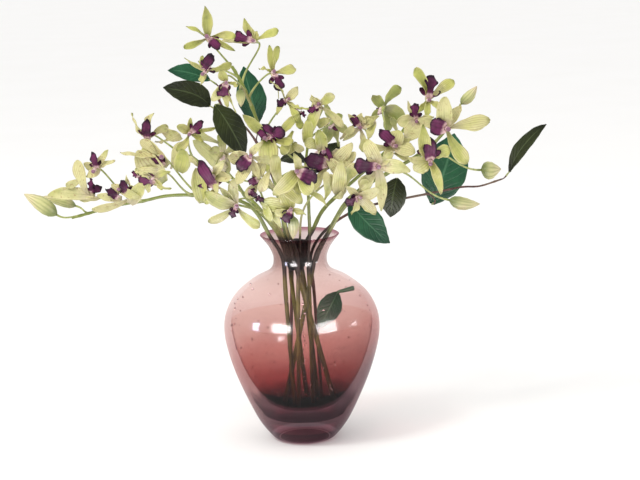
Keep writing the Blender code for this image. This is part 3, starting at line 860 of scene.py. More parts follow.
def stem_finish(name, light, dark, bark, rough=0.5, shine=0.5, fresh=0.0):
    """Streaked skin with patches of bark, and painted shade: nearly black in the neck and darker deep in
    the water.
    """
    finish = Finish(name)
    streaks = finish.noise(90.0, 4.0, vector=finish.stretched((3.0, 3.0, 0.5)))
    patches = finish.noise(22.0, 3.0)
    height = finish.height()
    neck_shade_share = height.step_mm(*SHADE_START) * height.step_mm(*SHADE_STOP)
    tone = finish.paint(
        light, (streaks.step(0.3, 0.7), dark), (patches.step(0.52, 0.72) * 0.7, bark),
        (height.step_mm(*FRESH_BAND) * fresh, light), (neck_shade_share * 0.94, NECK_SHADE),
        (height.step_mm(*DEEP_BAND) * 0.35, DEEP_SHADE))
    normal = finish.bump(streaks * 0.7 + finish.noise(900.0, 3.0) * 0.3, 0.35 * MM)
    roughness = patches * 0.25 + (rough - 0.12)
    return finish.show(finish.principled(
        Base_Color=tone, Roughness=roughness, Specular_IOR_Level=shine, Normal=normal))


stem_green = stem_finish(
    "stem green", colour(136, 146, 70), colour(74, 84, 42), colour(86, 72, 48), shine=0.35, fresh=0.72)
stalk_green = stem_finish(
    "stalk green", colour(178, 182, 112), colour(134, 146, 78), colour(160, 140, 102))
twig_brown = stem_finish(
    "twig brown", colour(104, 64, 54), colour(60, 34, 32), colour(128, 106, 88), rough=0.7)
# Painted shade: a near-black skin for the tube that stands for the crowded stems in the neck and their
# shade
crowd_and_shade_skin = stem_finish(
    "neck crowd and shade", colour(40, 24, 22), colour(14, 9, 9), colour(56, 34, 30), rough=0.8, shine=0.1)
print("four skins")

# %% [markdown]
# ## One petal
# A petal starts as a flat grid. Each row of the grid is carried along a centre line that bends out
# of its plane and sways a little in it, set to the width of the outline there, and bent into an
# arc across. A twist and a rippled edge make it look grown. Then the sheet is given its thickness,
# and its underside takes the next finish in the list.

# %% Outlines
OUTLINES = {
    "sepal": (
        (0.0, 0.44), (0.16, 0.70), (0.40, 1.0), (0.62, 0.92), (0.82, 0.58), (0.94, 0.26), (1.0, 0.04)),
    "petal": (
        (0.0, 0.22), (0.16, 0.30), (0.38, 0.62), (0.64, 0.97), (0.80, 1.0), (0.93, 0.70), (1.0, 0.18)),
    "wide": (
        (0.0, 0.46), (0.16, 0.82), (0.38, 1.0), (0.66, 0.94), (0.86, 0.62), (0.96, 0.30), (1.0, 0.08)),
    "fan": (
        (0.0, 0.40), (0.14, 0.60), (0.34, 0.56), (0.52, 0.70), (0.72, 1.0), (0.88, 0.86), (1.0, 0.30)),
    "heart": (
        (0.0, 0.36), (0.14, 0.54), (0.34, 0.40), (0.50, 0.58), (0.68, 1.0), (0.86, 0.84), (1.0, 0.26)),
    "round": (
        (0.0, 0.40), (0.14, 0.66), (0.36, 0.88), (0.60, 1.0), (0.80, 0.86), (0.93, 0.54), (1.0, 0.16)),
    "leaf": (
        (0.0, 0.10), (0.10, 0.42), (0.24, 0.80), (0.42, 1.0), (0.60, 0.94), (0.78, 0.66), (0.91, 0.32),
        (1.0, 0.02)),
    "bud": (
        (0.0, 0.10), (0.05, 0.42), (0.16, 0.82), (0.34, 1.0), (0.55, 0.92), (0.76, 0.60), (0.92, 0.26),
        (1.0, 0.03)),
}
EASE = 0.4


def width_at(outline, t):
    """How wide an outline is at t, 0 at its base and 1 at its tip, as a share of its widest."""
    rows = OUTLINES[outline]
    for (low, start), (high, end) in zip(rows, rows[1:]):
        if t <= high:
            share = (t - low) / (high - low)
            share = share * share * (3 - 2 * share) * EASE + share * (1 - EASE)
            return eased(start, end, share)
    return rows[-1][1]


print(len(OUTLINES), "outlines")

# %% Petal sheets
PLAIN_SHEET = {
    "fold": 0.0, "curl_power": 1.0, "sway": 0.0, "twist": 0.0, "roll": 0.0, "groove": 0.0,
    "thickness": 0.45 * MM,
}
TWIST_PIVOT = 0.4
EDGE_POWER, EDGE_START, SIDE_PHASE = 2.5, 2.5, 2.1
GROOVE_WIDTH = 0.14
NEARLY_FLAT = 0.02


def arc_across(half_width, bend, v):
    """Sideways and upward place of a point at v, -1 to 1, on a strip bent into an arc."""
    if abs(bend) < NEARLY_FLAT:
        return half_width * v, 0.0
    radius = half_width / bend
    return radius * math.sin(v * bend), radius * (1 - math.cos(v * bend))


def centre_line(rows, shape):
    """Places, ways and upward directions along a bent line that runs from 0 to 1 on X."""
    place, places, ways = Vector(), [], []
    for row in range(rows + 1):
        t = row / rows
        bend = shape["fold"] + shape["curl"] * t ** shape["curl_power"]
        sway = shape["sway"] * (t - 0.5)
        way = Vector((math.cos(bend) * math.cos(sway), math.cos(bend) * math.sin(sway), math.sin(bend)))
        if row:
            place = place + (ways[-1] + way) / 2
        places.append(place.copy())
        ways.append(way)
    fit = place.rotation_difference(Vector((1, 0, 0))).to_matrix()
    lines = []
    for place_here, way in zip(places, ways):
        up = Vector((0, 0, 1)) - way * way.z
        lines.append((fit @ place_here / place.length, fit @ way, (fit @ up).normalized()))
    return lines


def grow_sheet(bm, base, tip, look, given, slot):
    """Grows a petal from base to tip, with its face towards look."""
    shape = {**PLAIN_SHEET, **given}
    mark = bm.verts.layers.float_vector["mark"]
    rows, columns = shape["grid"]
    length = (tip - base).length
    outward = (tip - base) / length
    lift = (look - outward * look.dot(outward)).normalized()
    lift.rotate(Matrix.Rotation(shape["roll"], 3, outward))
    stand = Matrix((outward, lift.cross(outward), lift)).transposed()
    lines = centre_line(rows, shape)
    old_faces = set(bm.faces)
    grid = bmesh.ops.create_grid(bm, x_segments=rows, y_segments=columns, size=0.5)["verts"]
    sheet = [face for face in bm.faces if face not in old_faces]
    for vert in grid:
        t, v = vert.co.x + 0.5, vert.co.y * 2.0
        place, way, up = lines[round(t * rows)]
        twist = Matrix.Rotation(shape["twist"] * (t - TWIST_PIVOT), 3, way)
        half_width = shape["width"] / 2 * width_at(shape["outline"], t)
        over, rise = arc_across(half_width, eased(*shape["wrap"], t), v)
        ripple = math.sin(t * shape["waves"] + shape["phase"] + (SIDE_PHASE if v > 0 else 0.0))
        rise += shape["ripple"] * ripple * abs(v) ** EDGE_POWER * min(1.0, t * EDGE_START)
        rise -= shape["groove"] * math.exp(-(v / GROOVE_WIDTH) ** 2) * (1 - t)
        across = twist @ up.cross(way)
        vert.co = base + stand @ (place * length + across * over + twist @ up * rise)
        vert[mark] = (t, v / 2 + 0.5, 0.0)
    for face in sheet:
        face.material_index = slot
    bmesh.ops.recalc_face_normals(bm, faces=sheet)
    if sum((face.normal for face in sheet), Vector()).dot(stand @ lines[rows // 2][2]) < 0:
        bmesh.ops.reverse_faces(bm, faces=sheet)
    made = bmesh.ops.solidify(bm, geom=sheet, thickness=shape["thickness"])["geom"]
    for item in made:
        if isinstance(item, bmesh.types.BMFace):
            item.material_index = slot + 1


print("a plain sheet is", PLAIN_SHEET["thickness"] / MM, "mm thick")

# %% [markdown]
# ## Turned flower parts
# The column in the flower's throat, the chin below it and the ovary behind it are round. Each is a
# short profile spun about its own axis and carried to its place.

# %% Round flower parts
ROUND_SIDES, ROUND_STEPS, ROUND_WELD = 12, 2, 0.02 * MM


def grow_round(bm, profile, base, way, slot):
    """Spins (radius, height) rows in millimetres about an axis from base along way."""
    mark = bm.verts.layers.float_vector["mark"]
    faces = spun(bm, flat_curve(profile, ROUND_STEPS), ROUND_SIDES, ROUND_WELD)
    height = profile[-1][1] * MM
    turn = Vector((0, 0, 1)).rotation_difference(way.normalized()).to_matrix()
    for face in faces:
        face.material_index = slot
    for vert in {vert for face in faces for vert in face.verts}:
        vert[mark] = (min(max(vert.co.z / height, 0.0), 1.0), 0.5, 0.0)
        vert.co = base + turn @ vert.co


print("round parts have", ROUND_SIDES, "sides")

# %% [markdown]
# ## Petal finishes
# The sepals and petals are chartreuse: creamy in the middle, greener at the tips and on the back,
# with fine lengthwise veins that turn pinkish brown on some flowers. Olive green at the base and in
# patches is partly their own colour and partly painted shade, the cream towards the rims partly a
# painted highlight, and the darker back partly painted shade. The lip is deep purple, nearly black
# at its rim, and fades to a pale pink throat. The vein lines run along each petal's own map, and
# slow noise over the whole arrangement makes one flower greener and the next one creamier.

# %% Petal finishes
FLUSH = colour(238, 216, 206)
GLOW_TINT, GLOW_SHARE = (0.50, 0.50, 0.20, 1.0), 0.12


def vein_lines(finish, along, across, count, wander=0.5):
    """Fine lines that run from base to tip, thinner than the gaps between them."""
    drift = finish.noise(60.0, 2.0).swing(wander)
    return (across * count + drift + along * across).ridges(3.0)


def petal_finish(name, cream, fresh, green, blush, strength):
    finish = Finish(name)
    along, across = finish.along_and_across()
    edge = across.size()
    veins = vein_lines(finish, along, across, 21.0, 1.5)
    slow = finish.noise(15.0, 2.0)
    cloud = finish.noise(95.0, 4.0, rough=0.6)
    patch = finish.noise(38.0, 3.0)
    # Olive towards the base and in patches: partly the petal's own colour, partly painted shade
    shade = along.step(0.40, 0.0) * 0.62 + cloud.step(0.46, 0.70) * 0.38 + patch.step(0.50, 0.70) * 0.35
    specks = finish.noise(330.0, 2.0).step(0.60, 0.70) * slow.step(0.52, 0.40)
    flush = along.step(0.50, 0.06) * slow.step(0.56, 0.46) * patch.step(0.34, 0.56)
    midrib = edge.step(0.10, 0.0) * along.step(0.95, 0.2)
    tone = finish.paint(
        cream,
        ((slow + patch.swing(0.5)).step(0.40, 0.58), fresh),
        (shade * (slow.step(0.35, 0.60) * 0.5 + 0.5), green),
        # Cream towards the rims: partly the petal's own colour, partly a painted highlight
        ((edge + cloud.swing(0.5)).step(0.62, 0.98) * 0.55, cream),
        (along.step(0.86, 1.0) * slow.step(0.45, 0.55) * 0.6, green),
        (veins * (patch.step(0.60, 0.42) * 0.34 + 0.06) * strength, blush),
        (specks * 0.55 * strength, blush),
        (flush * 0.45, FLUSH),
        (midrib * 0.35, green))
    normal = finish.bump(veins * 0.2 + finish.noise(700.0, 2.0) * 0.2 + cloud * 1.2, 0.75 * MM)
    shader = finish.principled(Base_Color=tone, Roughness=cloud * 0.2 + 0.40, Normal=normal)
    glow = finish.node("BsdfTranslucent", values={"Color": GLOW_TINT})
    return finish.show(layered(finish, shader, (GLOW_SHARE, glow)))


petal_face = petal_finish(
    "petal face", colour(230, 224, 164), colour(202, 204, 112), colour(118, 128, 54),
    colour(156, 104, 74), 1.0)
# The back: greener as its own colour, and darker as painted shade
petal_back = petal_finish(
    "petal back", colour(198, 198, 132), colour(154, 164, 84), colour(96, 110, 50),
    colour(140, 100, 74), 0.6)
print("finishes:", petal_face.name, "and", petal_back.name)

# %% Lip and heart finishes


def lip_finish(name, throat, purple, dark, rim):
    finish = Finish(name)
    along, across = finish.along_and_across()
    edge = across.size()
    cloud = finish.noise(120.0, 3.0)
    slow = finish.noise(24.0, 2.0)
    veins = vein_lines(finish, along, across, 13.0)
    spread = along + cloud.swing(0.26) + slow.swing(0.30) - edge * 0.06
    outer = (edge + cloud.swing(0.3)).step(0.62, 0.92) * along.step(0.30, 0.55)
    tone = finish.paint(
        throat,
        (spread.step(0.12, 0.30), purple),
        (veins * 0.30 * along.step(0.1, 0.4), dark),
        ((slow + cloud.swing(0.4)).step(0.40, 0.60) * 0.9 * along.step(0.2, 0.45), dark),
        (outer * 0.85, rim),
        ((along + cloud.swing(0.25)).step(0.76, 0.96) * 0.9, rim))
    normal = finish.bump(veins * 0.3 + finish.noise(900.0, 2.0) * 0.4 + cloud * 1.0, 0.5 * MM)
    return finish.show(finish.principled(
        Base_Color=tone, Roughness=cloud * 0.2 + 0.45, Normal=normal, Specular_IOR_Level=0.2))


def heart_finish():
    """Cream and pink, with purple specks and a purple tip."""
    finish = Finish("flower heart")
    along, _ = finish.along_and_across()
    cloud = finish.noise(160.0, 3.0)
    tone = finish.paint(
        colour(206, 204, 150),
        ((along + cloud * 0.3).step(0.1, 0.5), colour(232, 206, 206)),
        (finish.noise(420.0, 2.0).step(0.56, 0.66) * 0.6, colour(150, 84, 116)),
        ((along + cloud.swing(0.3)).step(0.72, 0.95) * 0.85, colour(112, 50, 92)))
    normal = finish.bump(cloud + finish.noise(800.0), 0.2 * MM)
    return finish.show(finish.principled(Base_Color=tone, Roughness=cloud * 0.2 + 0.35, Normal=normal))


lip_face = lip_finish(
    "lip face", colour(232, 200, 200), colour(112, 48, 88), colour(60, 20, 48), colour(26, 9, 24))
lip_back = lip_finish(
    "lip back", colour(228, 196, 196), colour(116, 56, 90), colour(72, 30, 58), colour(34, 14, 32))
FLOWER_FINISHES = [petal_face, petal_back, lip_face, lip_back, heart_finish(), stalk_green]
PETAL_SLOT, LIP_SLOT, HEART_SLOT, OVARY_SLOT = 0, 2, 4, 5
print(len(FLOWER_FINISHES), "flower finishes")

# %% [markdown]
# ## The flowers
# A dendrobium flower has three sepals and two petals round a lip. Cut sprays are packed and
# jostled, so hardly one flower here is a neat star: some petals stand edge on, some are twice as
# broad as their neighbours. So each flower gets a row that says where its parts end.

# %% Where the flowers and their parts are
# For each spray, its flowers. A row starts with the middle of the flower in the picture and its
# depth, the way it faces (degrees right, degrees up), its size, and how many degrees its petals
# fold forward. Its parts follow: first the lip, then the petals, sepals and lips around it. A part
# is an outline, the place of its tip in the picture and its width in millimetres. One that hangs
# away from the middle of its flower, or belongs to a neighbour behind, has a base of its own.
SPRAYS = {
    "tall_left": (
        (208, 38, 0, 8, 4, 1.12, 10,
         ("round", 220, 49, 10), ("sepal", 205, 6, 11), ("petal", 184, 48, 8), ("sepal", 186, 26, 3),
         ("petal", 235, 37, 9), ("sepal", 235, 51, 6)),
        (206, 71, -16, -25, -8, 0.95, 15,
         ("fan", 213, 55, 12), ("sepal", 184, 58, 6), ("petal", 231, 63, 7), ("sepal", 201, 84, 7),
         ("wide", 203, 56, 8), ("sepal", 198, 61, 4)),
        (226, 82, -42, 0, -22, 0.85, 30,
         ("heart", 223, 97, 16), ("wide", 211, 100, 10), ("sepal", 228, 107, 8), ("wide", 221, 70, 9),
         ("sepal", 236, 113, 4), ("petal", 238, 85, 6)),
        (254, 41, 6, -25, 12, 0.95, 15,
         ("fan", 234, 35, 13), ("sepal", 244, 18, 8), ("sepal", 249, 26, 7), ("petal", 278, 31, 9),
         ("wide", 257, 31, 9), ("wide", 222, 40, 9)),
        (273, 73, -4, 20, 5, 0.90, 5,
         ("heart", 280, 91, 13), ("sepal", 269, 45, 8), ("petal", 278, 46, 7), ("petal", 295, 68, 10),
         ("sepal", 279, 99, 4), ("sepal", 259, 69, 3)),
        (286, 101, -10, 20, 25, 0.80, 25,
         ("fan", 277, 105, 10), ("sepal", 270, 82, 4), ("wide", 298, 87, 9), ("sepal", 302, 109, 5),
         ("petal", 297, 122, 8), ("sepal", 277, 115, 5), ("petal", 301, 129, 8, 299, 111),
         ("round", 293, 116, 5, 297, 109), ("round", 305, 117, 4, 300, 112),
         ("sepal", 309, 109, 3, 296, 109)),
    ),
    "left": (
        (95, 169, -34, -10, 5, 1.00, 20,
         ("round", 93, 152, 8, 98, 168), ("sepal", 108, 150, 7), ("sepal", 115, 161, 5),
         ("petal", 77, 160, 12, 89, 197), ("petal", 66, 186, 8, 84, 177), ("round", 91, 178, 6, 93, 193),
         ("round", 102, 188, 9, 91, 189), ("wide", 48, 195, 12, 95, 196), ("wide", 84, 163, 9, 100, 172),
         ("sepal", 80, 201, 5, 101, 198), ("wide", 86, 176, 8, 99, 170)),
        (117, 189, -52, 5, 5, 0.85, 15,
         ("round", 107, 189, 9, 118, 198), ("round", 121, 180, 9, 127, 194),
         ("wide", 143, 182, 13, 130, 204), ("petal", 92, 209, 10, 130, 199),
         ("sepal", 126, 175, 3, 131, 187), ("petal", 134, 187, 7, 125, 194),
         ("wide", 97, 195, 8, 122, 198), ("sepal", 141, 199, 9), ("wide", 112, 184, 8, 122, 192)),
        (153, 178, -72, -35, -18, 0.90, 25,
         ("fan", 138, 178, 11, 158, 179), ("sepal", 170, 172, 7), ("wide", 162, 190, 7),
         ("petal", 147, 191, 8), ("sepal", 135, 169, 5), ("sepal", 171, 188, 5),
         ("round", 133, 171, 5, 140, 176)),
        (161, 157, -36, -10, 10, 1.15, 20,
         ("round", 152, 156, 8, 165, 165), ("wide", 137, 151, 24, 164, 183), ("petal", 141, 140, 9),
         ("wide", 146, 139, 13, 168, 166), ("wide", 182, 149, 17, 179, 172), ("sepal", 120, 152, 5),
         ("wide", 133, 172, 14, 162, 172), ("sepal", 190, 155, 5, 199, 166)),
    ),
    "back_left": (
        (148, 139, 20, -8, -15, 1.00, 10,
         ("round", 147, 119, 11), ("sepal", 132, 113, 7), ("sepal", 154, 113, 6),
         ("petal", 168, 126, 9, 151, 137), ("wide", 182, 138, 12, 163, 127), ("sepal", 140, 163, 7),
         ("petal", 180, 142, 9, 171, 169), ("sepal", 170, 137, 3, 155, 142)),
        (190, 133, 12, 12, 5, 0.95, 15,
         ("round", 203, 121, 9), ("sepal", 215, 128, 6), ("wide", 177, 126, 9), ("sepal", 190, 118, 6),
         ("petal", 177, 151, 9), ("sepal", 203, 142, 6)),
        (222, 154, 62, 165, 15, 1.10, 15,
         ("round", 226, 168, 9), ("wide", 193, 140, 17, 226, 170), ("petal", 190, 131, 11, 219, 143),
         ("wide", 219, 133, 10), ("petal", 235, 145, 9), ("wide", 226, 176, 13),
         ("wide", 208, 150, 12, 228, 160)),
    ),
    "front": (
        (213, 176, -74, -12, 10, 1.15, 25,
         ("round", 199, 160, 13, 218, 189), ("wide", 196, 168, 16, 203, 203),
         ("petal", 189, 156, 5, 199, 167), ("sepal", 217, 193, 7), ("wide", 231, 178, 11),
         ("sepal", 225, 160, 8), ("wide", 205, 204, 9, 216, 190)),
        (250, 157, -74, -5, 5, 0.95, 15,
         ("round", 238, 170, 15), ("wide", 228, 157, 14), ("wide", 237, 184, 12), ("sepal", 259, 178, 8),
         ("sepal", 263, 142, 7), ("petal", 271, 160, 9), ("petal", 261, 192, 10, 271, 169),
         ("sepal", 260, 169, 6, 275, 188), ("round", 249, 184, 9, 258, 179),
         ("petal", 247, 198, 10, 262, 179), ("round", 257, 197, 6, 249, 190),
         ("round", 264, 201, 6, 256, 197), ("wide", 256, 180, 12, 263, 162)),
        (236, 206, -72, 0, -12, 1.10, 5,
         ("heart", 231, 217, 9), ("wide", 205, 192, 14), ("petal", 208, 222, 10),
         ("petal", 260, 226, 11), ("wide", 234, 179, 10), ("sepal", 219, 187, 7)),
        (291, 209, -72, -10, -12, 0.90, 20,
         ("fan", 284, 222, 12), ("wide", 260, 203, 15), ("wide", 281, 189, 14), ("petal", 299, 189, 9),
         ("sepal", 306, 215, 6), ("petal", 274, 214, 9), ("wide", 272, 222, 8, 264, 203),
         ("sepal", 282, 228, 7, 272, 206)),
        (297, 172, -82, 18, 5, 1.05, 20,
         ("round", 317, 181, 17), ("petal", 275, 155, 12, 283, 191), ("wide", 273, 194, 15),
         ("petal", 312, 193, 14), ("petal", 298, 194, 15), ("sepal", 294, 153, 8),
         ("wide", 301, 175, 15, 289, 192), ("wide", 301, 204, 13, 281, 187),
         ("sepal", 327, 207, 6, 299, 191)),
    ),
    "middle": (
        (267, 138, -26, 0, 12, 1.10, 20,
         ("heart", 285, 131, 15), ("sepal", 243, 115, 11), ("wide", 268, 172, 20),
         ("petal", 283, 155, 10, 293, 131), ("sepal", 299, 114, 9, 280, 134), ("petal", 293, 142, 9),
         ("round", 262, 125, 9, 276, 134), ("round", 258, 130, 8, 268, 140),
         ("petal", 303, 151, 8, 291, 142), ("sepal", 290, 154, 6, 296, 142)),
        (322, 152, -32, 0, 0, 1.05, 15,
         ("round", 305, 158, 18, 327, 163), ("petal", 305, 141, 11), ("wide", 318, 130, 13),
         ("wide", 352, 143, 13, 329, 167), ("sepal", 301, 168, 6, 327, 165), ("petal", 341, 174, 12),
         ("round", 326, 147, 6, 332, 163), ("petal", 355, 152, 9, 331, 171),
         ("petal", 310, 191, 11, 328, 166), ("wide", 308, 119, 11, 306, 143),
         ("wide", 347, 166, 12, 334, 150)),
        (319, 106, -2, -20, 12, 0.95, 20,
         ("fan", 309, 113, 9), ("wide", 312, 101, 11), ("sepal", 311, 95, 6), ("petal", 334, 95, 10),
         ("petal", 343, 127, 9), ("wide", 308, 137, 12), ("wide", 330, 120, 9, 318, 127)),
        (332, 122, 42, 170, 5, 0.95, 15,
         ("round", 328, 136, 12), ("petal", 341, 114, 8), ("petal", 347, 130, 9), ("wide", 320, 146, 13),
         ("sepal", 339, 147, 8), ("sepal", 325, 101, 7)),
    ),
    "back_right": (
        (361, 127, 10, -20, 15, 1.00, 25,
         ("round", 352, 115, 9), ("sepal", 348, 114, 7), ("wide", 361, 113, 11), ("wide", 372, 117, 12),
         ("sepal", 379, 116, 6), ("sepal", 343, 141, 6), ("petal", 349, 136, 7),
         ("petal", 363, 152, 9, 360, 129), ("wide", 368, 139, 9, 373, 119),
         ("petal", 354, 127, 8, 340, 139)),
        (383, 108, 60, 175, 15, 1.00, 15,
         ("round", 377, 114, 9), ("wide", 372, 96, 11), ("petal", 401, 87, 11), ("wide", 405, 120, 15),
         ("sepal", 371, 118, 6), ("petal", 388, 132, 10), ("petal", 392, 117, 7, 398, 133)),
        (417, 120, 16, -10, 10, 0.90, 20,
         ("fan", 415, 103, 10), ("sepal", 408, 101, 5), ("wide", 397, 122, 14), ("sepal", 434, 117, 7),
         ("wide", 404, 134, 12), ("sepal", 424, 137, 8)),
        (428, 100, 50, 12, 25, 1.05, 15,
         ("heart", 432, 75, 16), ("petal", 414, 69, 11), ("petal", 454, 80, 12), ("sepal", 425, 120, 7),
         ("sepal", 443, 113, 7), ("sepal", 415, 112, 6)),
    ),
    "right": (
        (378, 166, -44, -15, 0, 1.15, 5,
         ("fan", 354, 165, 18), ("wide", 366, 140, 15), ("wide", 410, 171, 14), ("sepal", 381, 211, 10),
         ("petal", 360, 189, 14), ("sepal", 392, 152, 9)),
        (393, 146, -14, 10, 20, 1.05, 25,
         ("round", 379, 131, 13), ("wide", 398, 130, 17), ("wide", 415, 153, 15),
         ("petal", 367, 145, 10), ("sepal", 411, 139, 8), ("sepal", 386, 168, 10),
         ("wide", 422, 131, 10, 403, 139), ("petal", 409, 158, 8, 394, 153)),
        (446, 128, -34, -5, 2, 1.20, 5,
         ("round", 430, 124, 20), ("petal", 490, 121, 16), ("wide", 445, 97, 16), ("wide", 418, 119, 10),
         ("petal", 468, 163, 14), ("wide", 461, 106, 11)),
        (430, 160, -46, 0, -10, 1.05, 15,
         ("round", 430, 137, 15), ("wide", 414, 171, 16), ("wide", 423, 125, 13),
         ("petal", 450, 149, 13), ("sepal", 441, 194, 10), ("sepal", 408, 158, 8)),
        (358, 196, -40, 10, -20, 0.85, 15,
         ("fan", 345, 203, 11), ("wide", 379, 188, 12), ("wide", 376, 214, 11), ("sepal", 345, 186, 7),
         ("sepal", 351, 214, 7), ("petal", 366, 179, 9), ("wide", 341, 161, 14, 338, 194),
         ("petal", 331, 174, 8, 336, 194), ("petal", 325, 172, 9, 323, 202),
         ("petal", 357, 165, 13, 342, 192), ("wide", 333, 199, 6, 345, 188)),
    ),
}
HEAD_LENGTH = 7
for spray, rows in SPRAYS.items():
    print(spray, len(rows), "flowers,", sum(len(row) - HEAD_LENGTH for row in rows), "parts")

# %% Flower sizes
OVARY_LENGTH, SEAT_GAP = 9.0, 0.3
# A part leans along the line of sight by at most STEEPEST of its length in the picture. One that
# has a base of its own keeps only OWN_BASE_LEAN of its lean.
STEEPEST, OWN_BASE_LEAN, LEAST_TOWARDS = 0.85, 0.5, 0.3
FRONT_LIMIT = -97.0 * MM
CLEAR_OF_HUB = 1.6 * MM
# A petal that looks slimmer than this share of its length is a wider one, rolled onto its side
SLIM = 0.30
FOLD_JITTER, CUPS = (-12, 14), (0.15, 1.1)
LIP_OUTLINES = ("fan", "heart", "round")
LIP_WIDTH, LIP_FOLD, LIP_LIFT = 0.88, math.radians(26), 0.8 * MM
LOBE_START, LOBE_LIFT = 0.10, 1.5 * MM
LOBE_REACHES, LOBE_SPREADS, LOBE_WIDTHS = (0.18, 0.34), (0.34, 0.48), (0.32, 0.46)
PETAL_GRID, LIP_GRID, LOBE_GRID = (18, 10), (20, 14), (9, 6)
COLUMN_LEAN, CHIN_DOWN, CHIN_BACK = 0.25, 0.7, 0.6
COLUMN_SEAT, CHIN_SEAT = 0.5, 0.6
COLUMN_PROFILE = ((0.0, -0.6), (2.2, 0.0), (2.1, 2.2), (1.6, 4.4), (2.0, 6.2), (1.6, 7.4), (0.0, 7.8))
CHIN_PROFILE = ((0.0, -0.6), (2.9, 0.0), (2.8, 2.6), (2.1, 5.4), (1.2, 8.2), (0.0, 9.4))
OVARY_PROFILE = ((0.0, -0.5), (2.6, 0.0), (2.2, 2.4), (1.7, 5.0), (1.2, 9.1), (0.0, 9.3))


def facing(right, up):
    """A unit direction, degrees to the viewer's right and degrees up from straight at the viewer."""
    right, up = math.radians(right), math.radians(up)
    return Vector((math.sin(right) * math.cos(up), -math.cos(right) * math.cos(up), math.sin(up)))


def random_turn(draw, low, high):
    """A random angle between two that are given in degrees."""
    return math.radians(draw.uniform(low, high))


def part_ends(hub, row, depth, look, fold):
    """Where a part starts and ends: at its place in the picture, as far forward as its facing asks."""
    _, pixel_x, pixel_y, _, *own_base = row
    base = seen(*own_base, depth) if own_base else hub
    flat = seen(pixel_x, pixel_y, depth) - base
    sight = (base - EYE).normalized()
    towards = -sight.dot(look)
    if abs(towards) <= LEAST_TOWARDS:
        towards = LEAST_TOWARDS
    lean = (math.sin(fold) - flat.normalized().dot(look)) / towards
    lean = max(-STEEPEST, min(STEEPEST, lean)) * (OWN_BASE_LEAN if own_base else 1.0)
    lean = min(lean, (base.y + flat.y - FRONT_LIMIT) / (sight.y * flat.length))
    tip = base + flat - sight * flat.length * lean
    return base if own_base else base + (tip - base).normalized() * CLEAR_OF_HUB, tip


print("straight at the viewer is", list(facing(0, 0)))

# %% Petals and lips


def grow_petal(bm, hub, row, depth, look, fold, draw):
    """A petal or a sepal, bent, twisted and rippled at random."""
    base, tip = part_ends(hub, row, depth, look, fold + random_turn(draw, *FOLD_JITTER))
    width = row[3] * MM
    true_width = max(width, SLIM * (tip - base).length)
    cup = draw.uniform(*CUPS)
    grow_sheet(bm, base, tip, look, {
        "outline": row[0],
        "width": true_width,
        "curl": random_turn(draw, -80, 35),
        "curl_power": 1.4,
        "sway": random_turn(draw, -38, 38),
        "twist": random_turn(draw, -60, 60),
        "roll": math.acos(min(1.0, width / true_width)) * draw.choice((-1, 1)),
        "wrap": (cup, cup * draw.uniform(-0.4, 0.9)),
        "ripple": draw.uniform(0.4, 1.5) * MM,
        "waves": draw.uniform(7, 15),
        "phase": draw.uniform(0, 6),
        "groove": 0.35 * MM,
        "grid": PETAL_GRID,
    }, PETAL_SLOT)


def grow_lip(bm, hub, row, depth, look, draw):
    """The lip's middle lobe, and a small lobe on either side of its throat."""
    base, tip = part_ends(hub, row, depth, look, LIP_FOLD)
    throat = base + look * LIP_LIFT
    grow_sheet(bm, throat, tip, look, {
        "outline": row[0],
        "width": row[3] * LIP_WIDTH * MM,
        "fold": math.radians(46),
        "curl": random_turn(draw, -118, -88),
        "curl_power": 1.2,
        "sway": random_turn(draw, -14, 14),
        "twist": random_turn(draw, -25, 25),
        "wrap": (1.55, draw.uniform(-0.75, -0.15)),
        "ripple": draw.uniform(1.0, 2.2) * MM,
        "waves": draw.uniform(16, 21),
        "phase": draw.uniform(0, 6),
        "groove": -0.5 * MM,
        "grid": LIP_GRID,
    }, LIP_SLOT)
    way = tip - base
    aside = way.cross(look).normalized() * way.length
    start = throat + way * LOBE_START
    for side in (-1, 1):
        end = start + way * draw.uniform(*LOBE_REACHES) + aside * side * draw.uniform(*LOBE_SPREADS)
        grow_sheet(bm, start, end + look * LOBE_LIFT, look, {
            "outline": "round",
            "width": row[3] * draw.uniform(*LOBE_WIDTHS) * MM,
            "curl": random_turn(draw, 10, 70),
            "wrap": (0.3, 0.5),
            "ripple": 0.5 * MM,
            "waves": 12.0,
            "phase": draw.uniform(0, 6),
            "grid": LOBE_GRID,
        }, LIP_SLOT)


print("a petal has", PETAL_GRID[0] * PETAL_GRID[1], "squares on each face")

# %% Make the flowers
stalk_ends = {name: [] for name in STEMS}


def make_flower(name, stem_name, row):
    """One flower, whose stalk is left for its stem to grow later."""
    pixel_x, pixel_y, depth, right, rise, size, fold, *parts = row
    draw = random.Random(name)
    look = facing(right, rise)
    hub = seen(pixel_x, pixel_y, depth)
    bm = new_mesh()
    for part in parts:
        if part[0] in LIP_OUTLINES:
            grow_lip(bm, hub, part, depth, look, draw)
        else:
            grow_petal(bm, hub, part, depth, look, math.radians(fold), draw)
    _, lip_x, lip_y, *_ = parts[0]
    lip_way = (seen(lip_x, lip_y, depth) - hub).normalized()
    column_way = (look - lip_way * COLUMN_LEAN).normalized()
    chin_way = (lip_way * CHIN_DOWN - look * CHIN_BACK).normalized()
    for rows, base, way, slot in (
            (COLUMN_PROFILE, hub - lip_way * COLUMN_SEAT * MM, column_way, HEART_SLOT),
            (CHIN_PROFILE, hub + lip_way * CHIN_SEAT * MM, chin_way, HEART_SLOT),
            (OVARY_PROFILE, hub, -look, OVARY_SLOT)):
        grow_round(bm, [(radius * size, height * size) for radius, height in rows], base, way, slot)
    stalk_ends[stem_name].append((hub - look * (OVARY_LENGTH * size + SEAT_GAP) * MM, look))
    return keep(bm, name + "_bloom", FLOWER_FINISHES, [name])


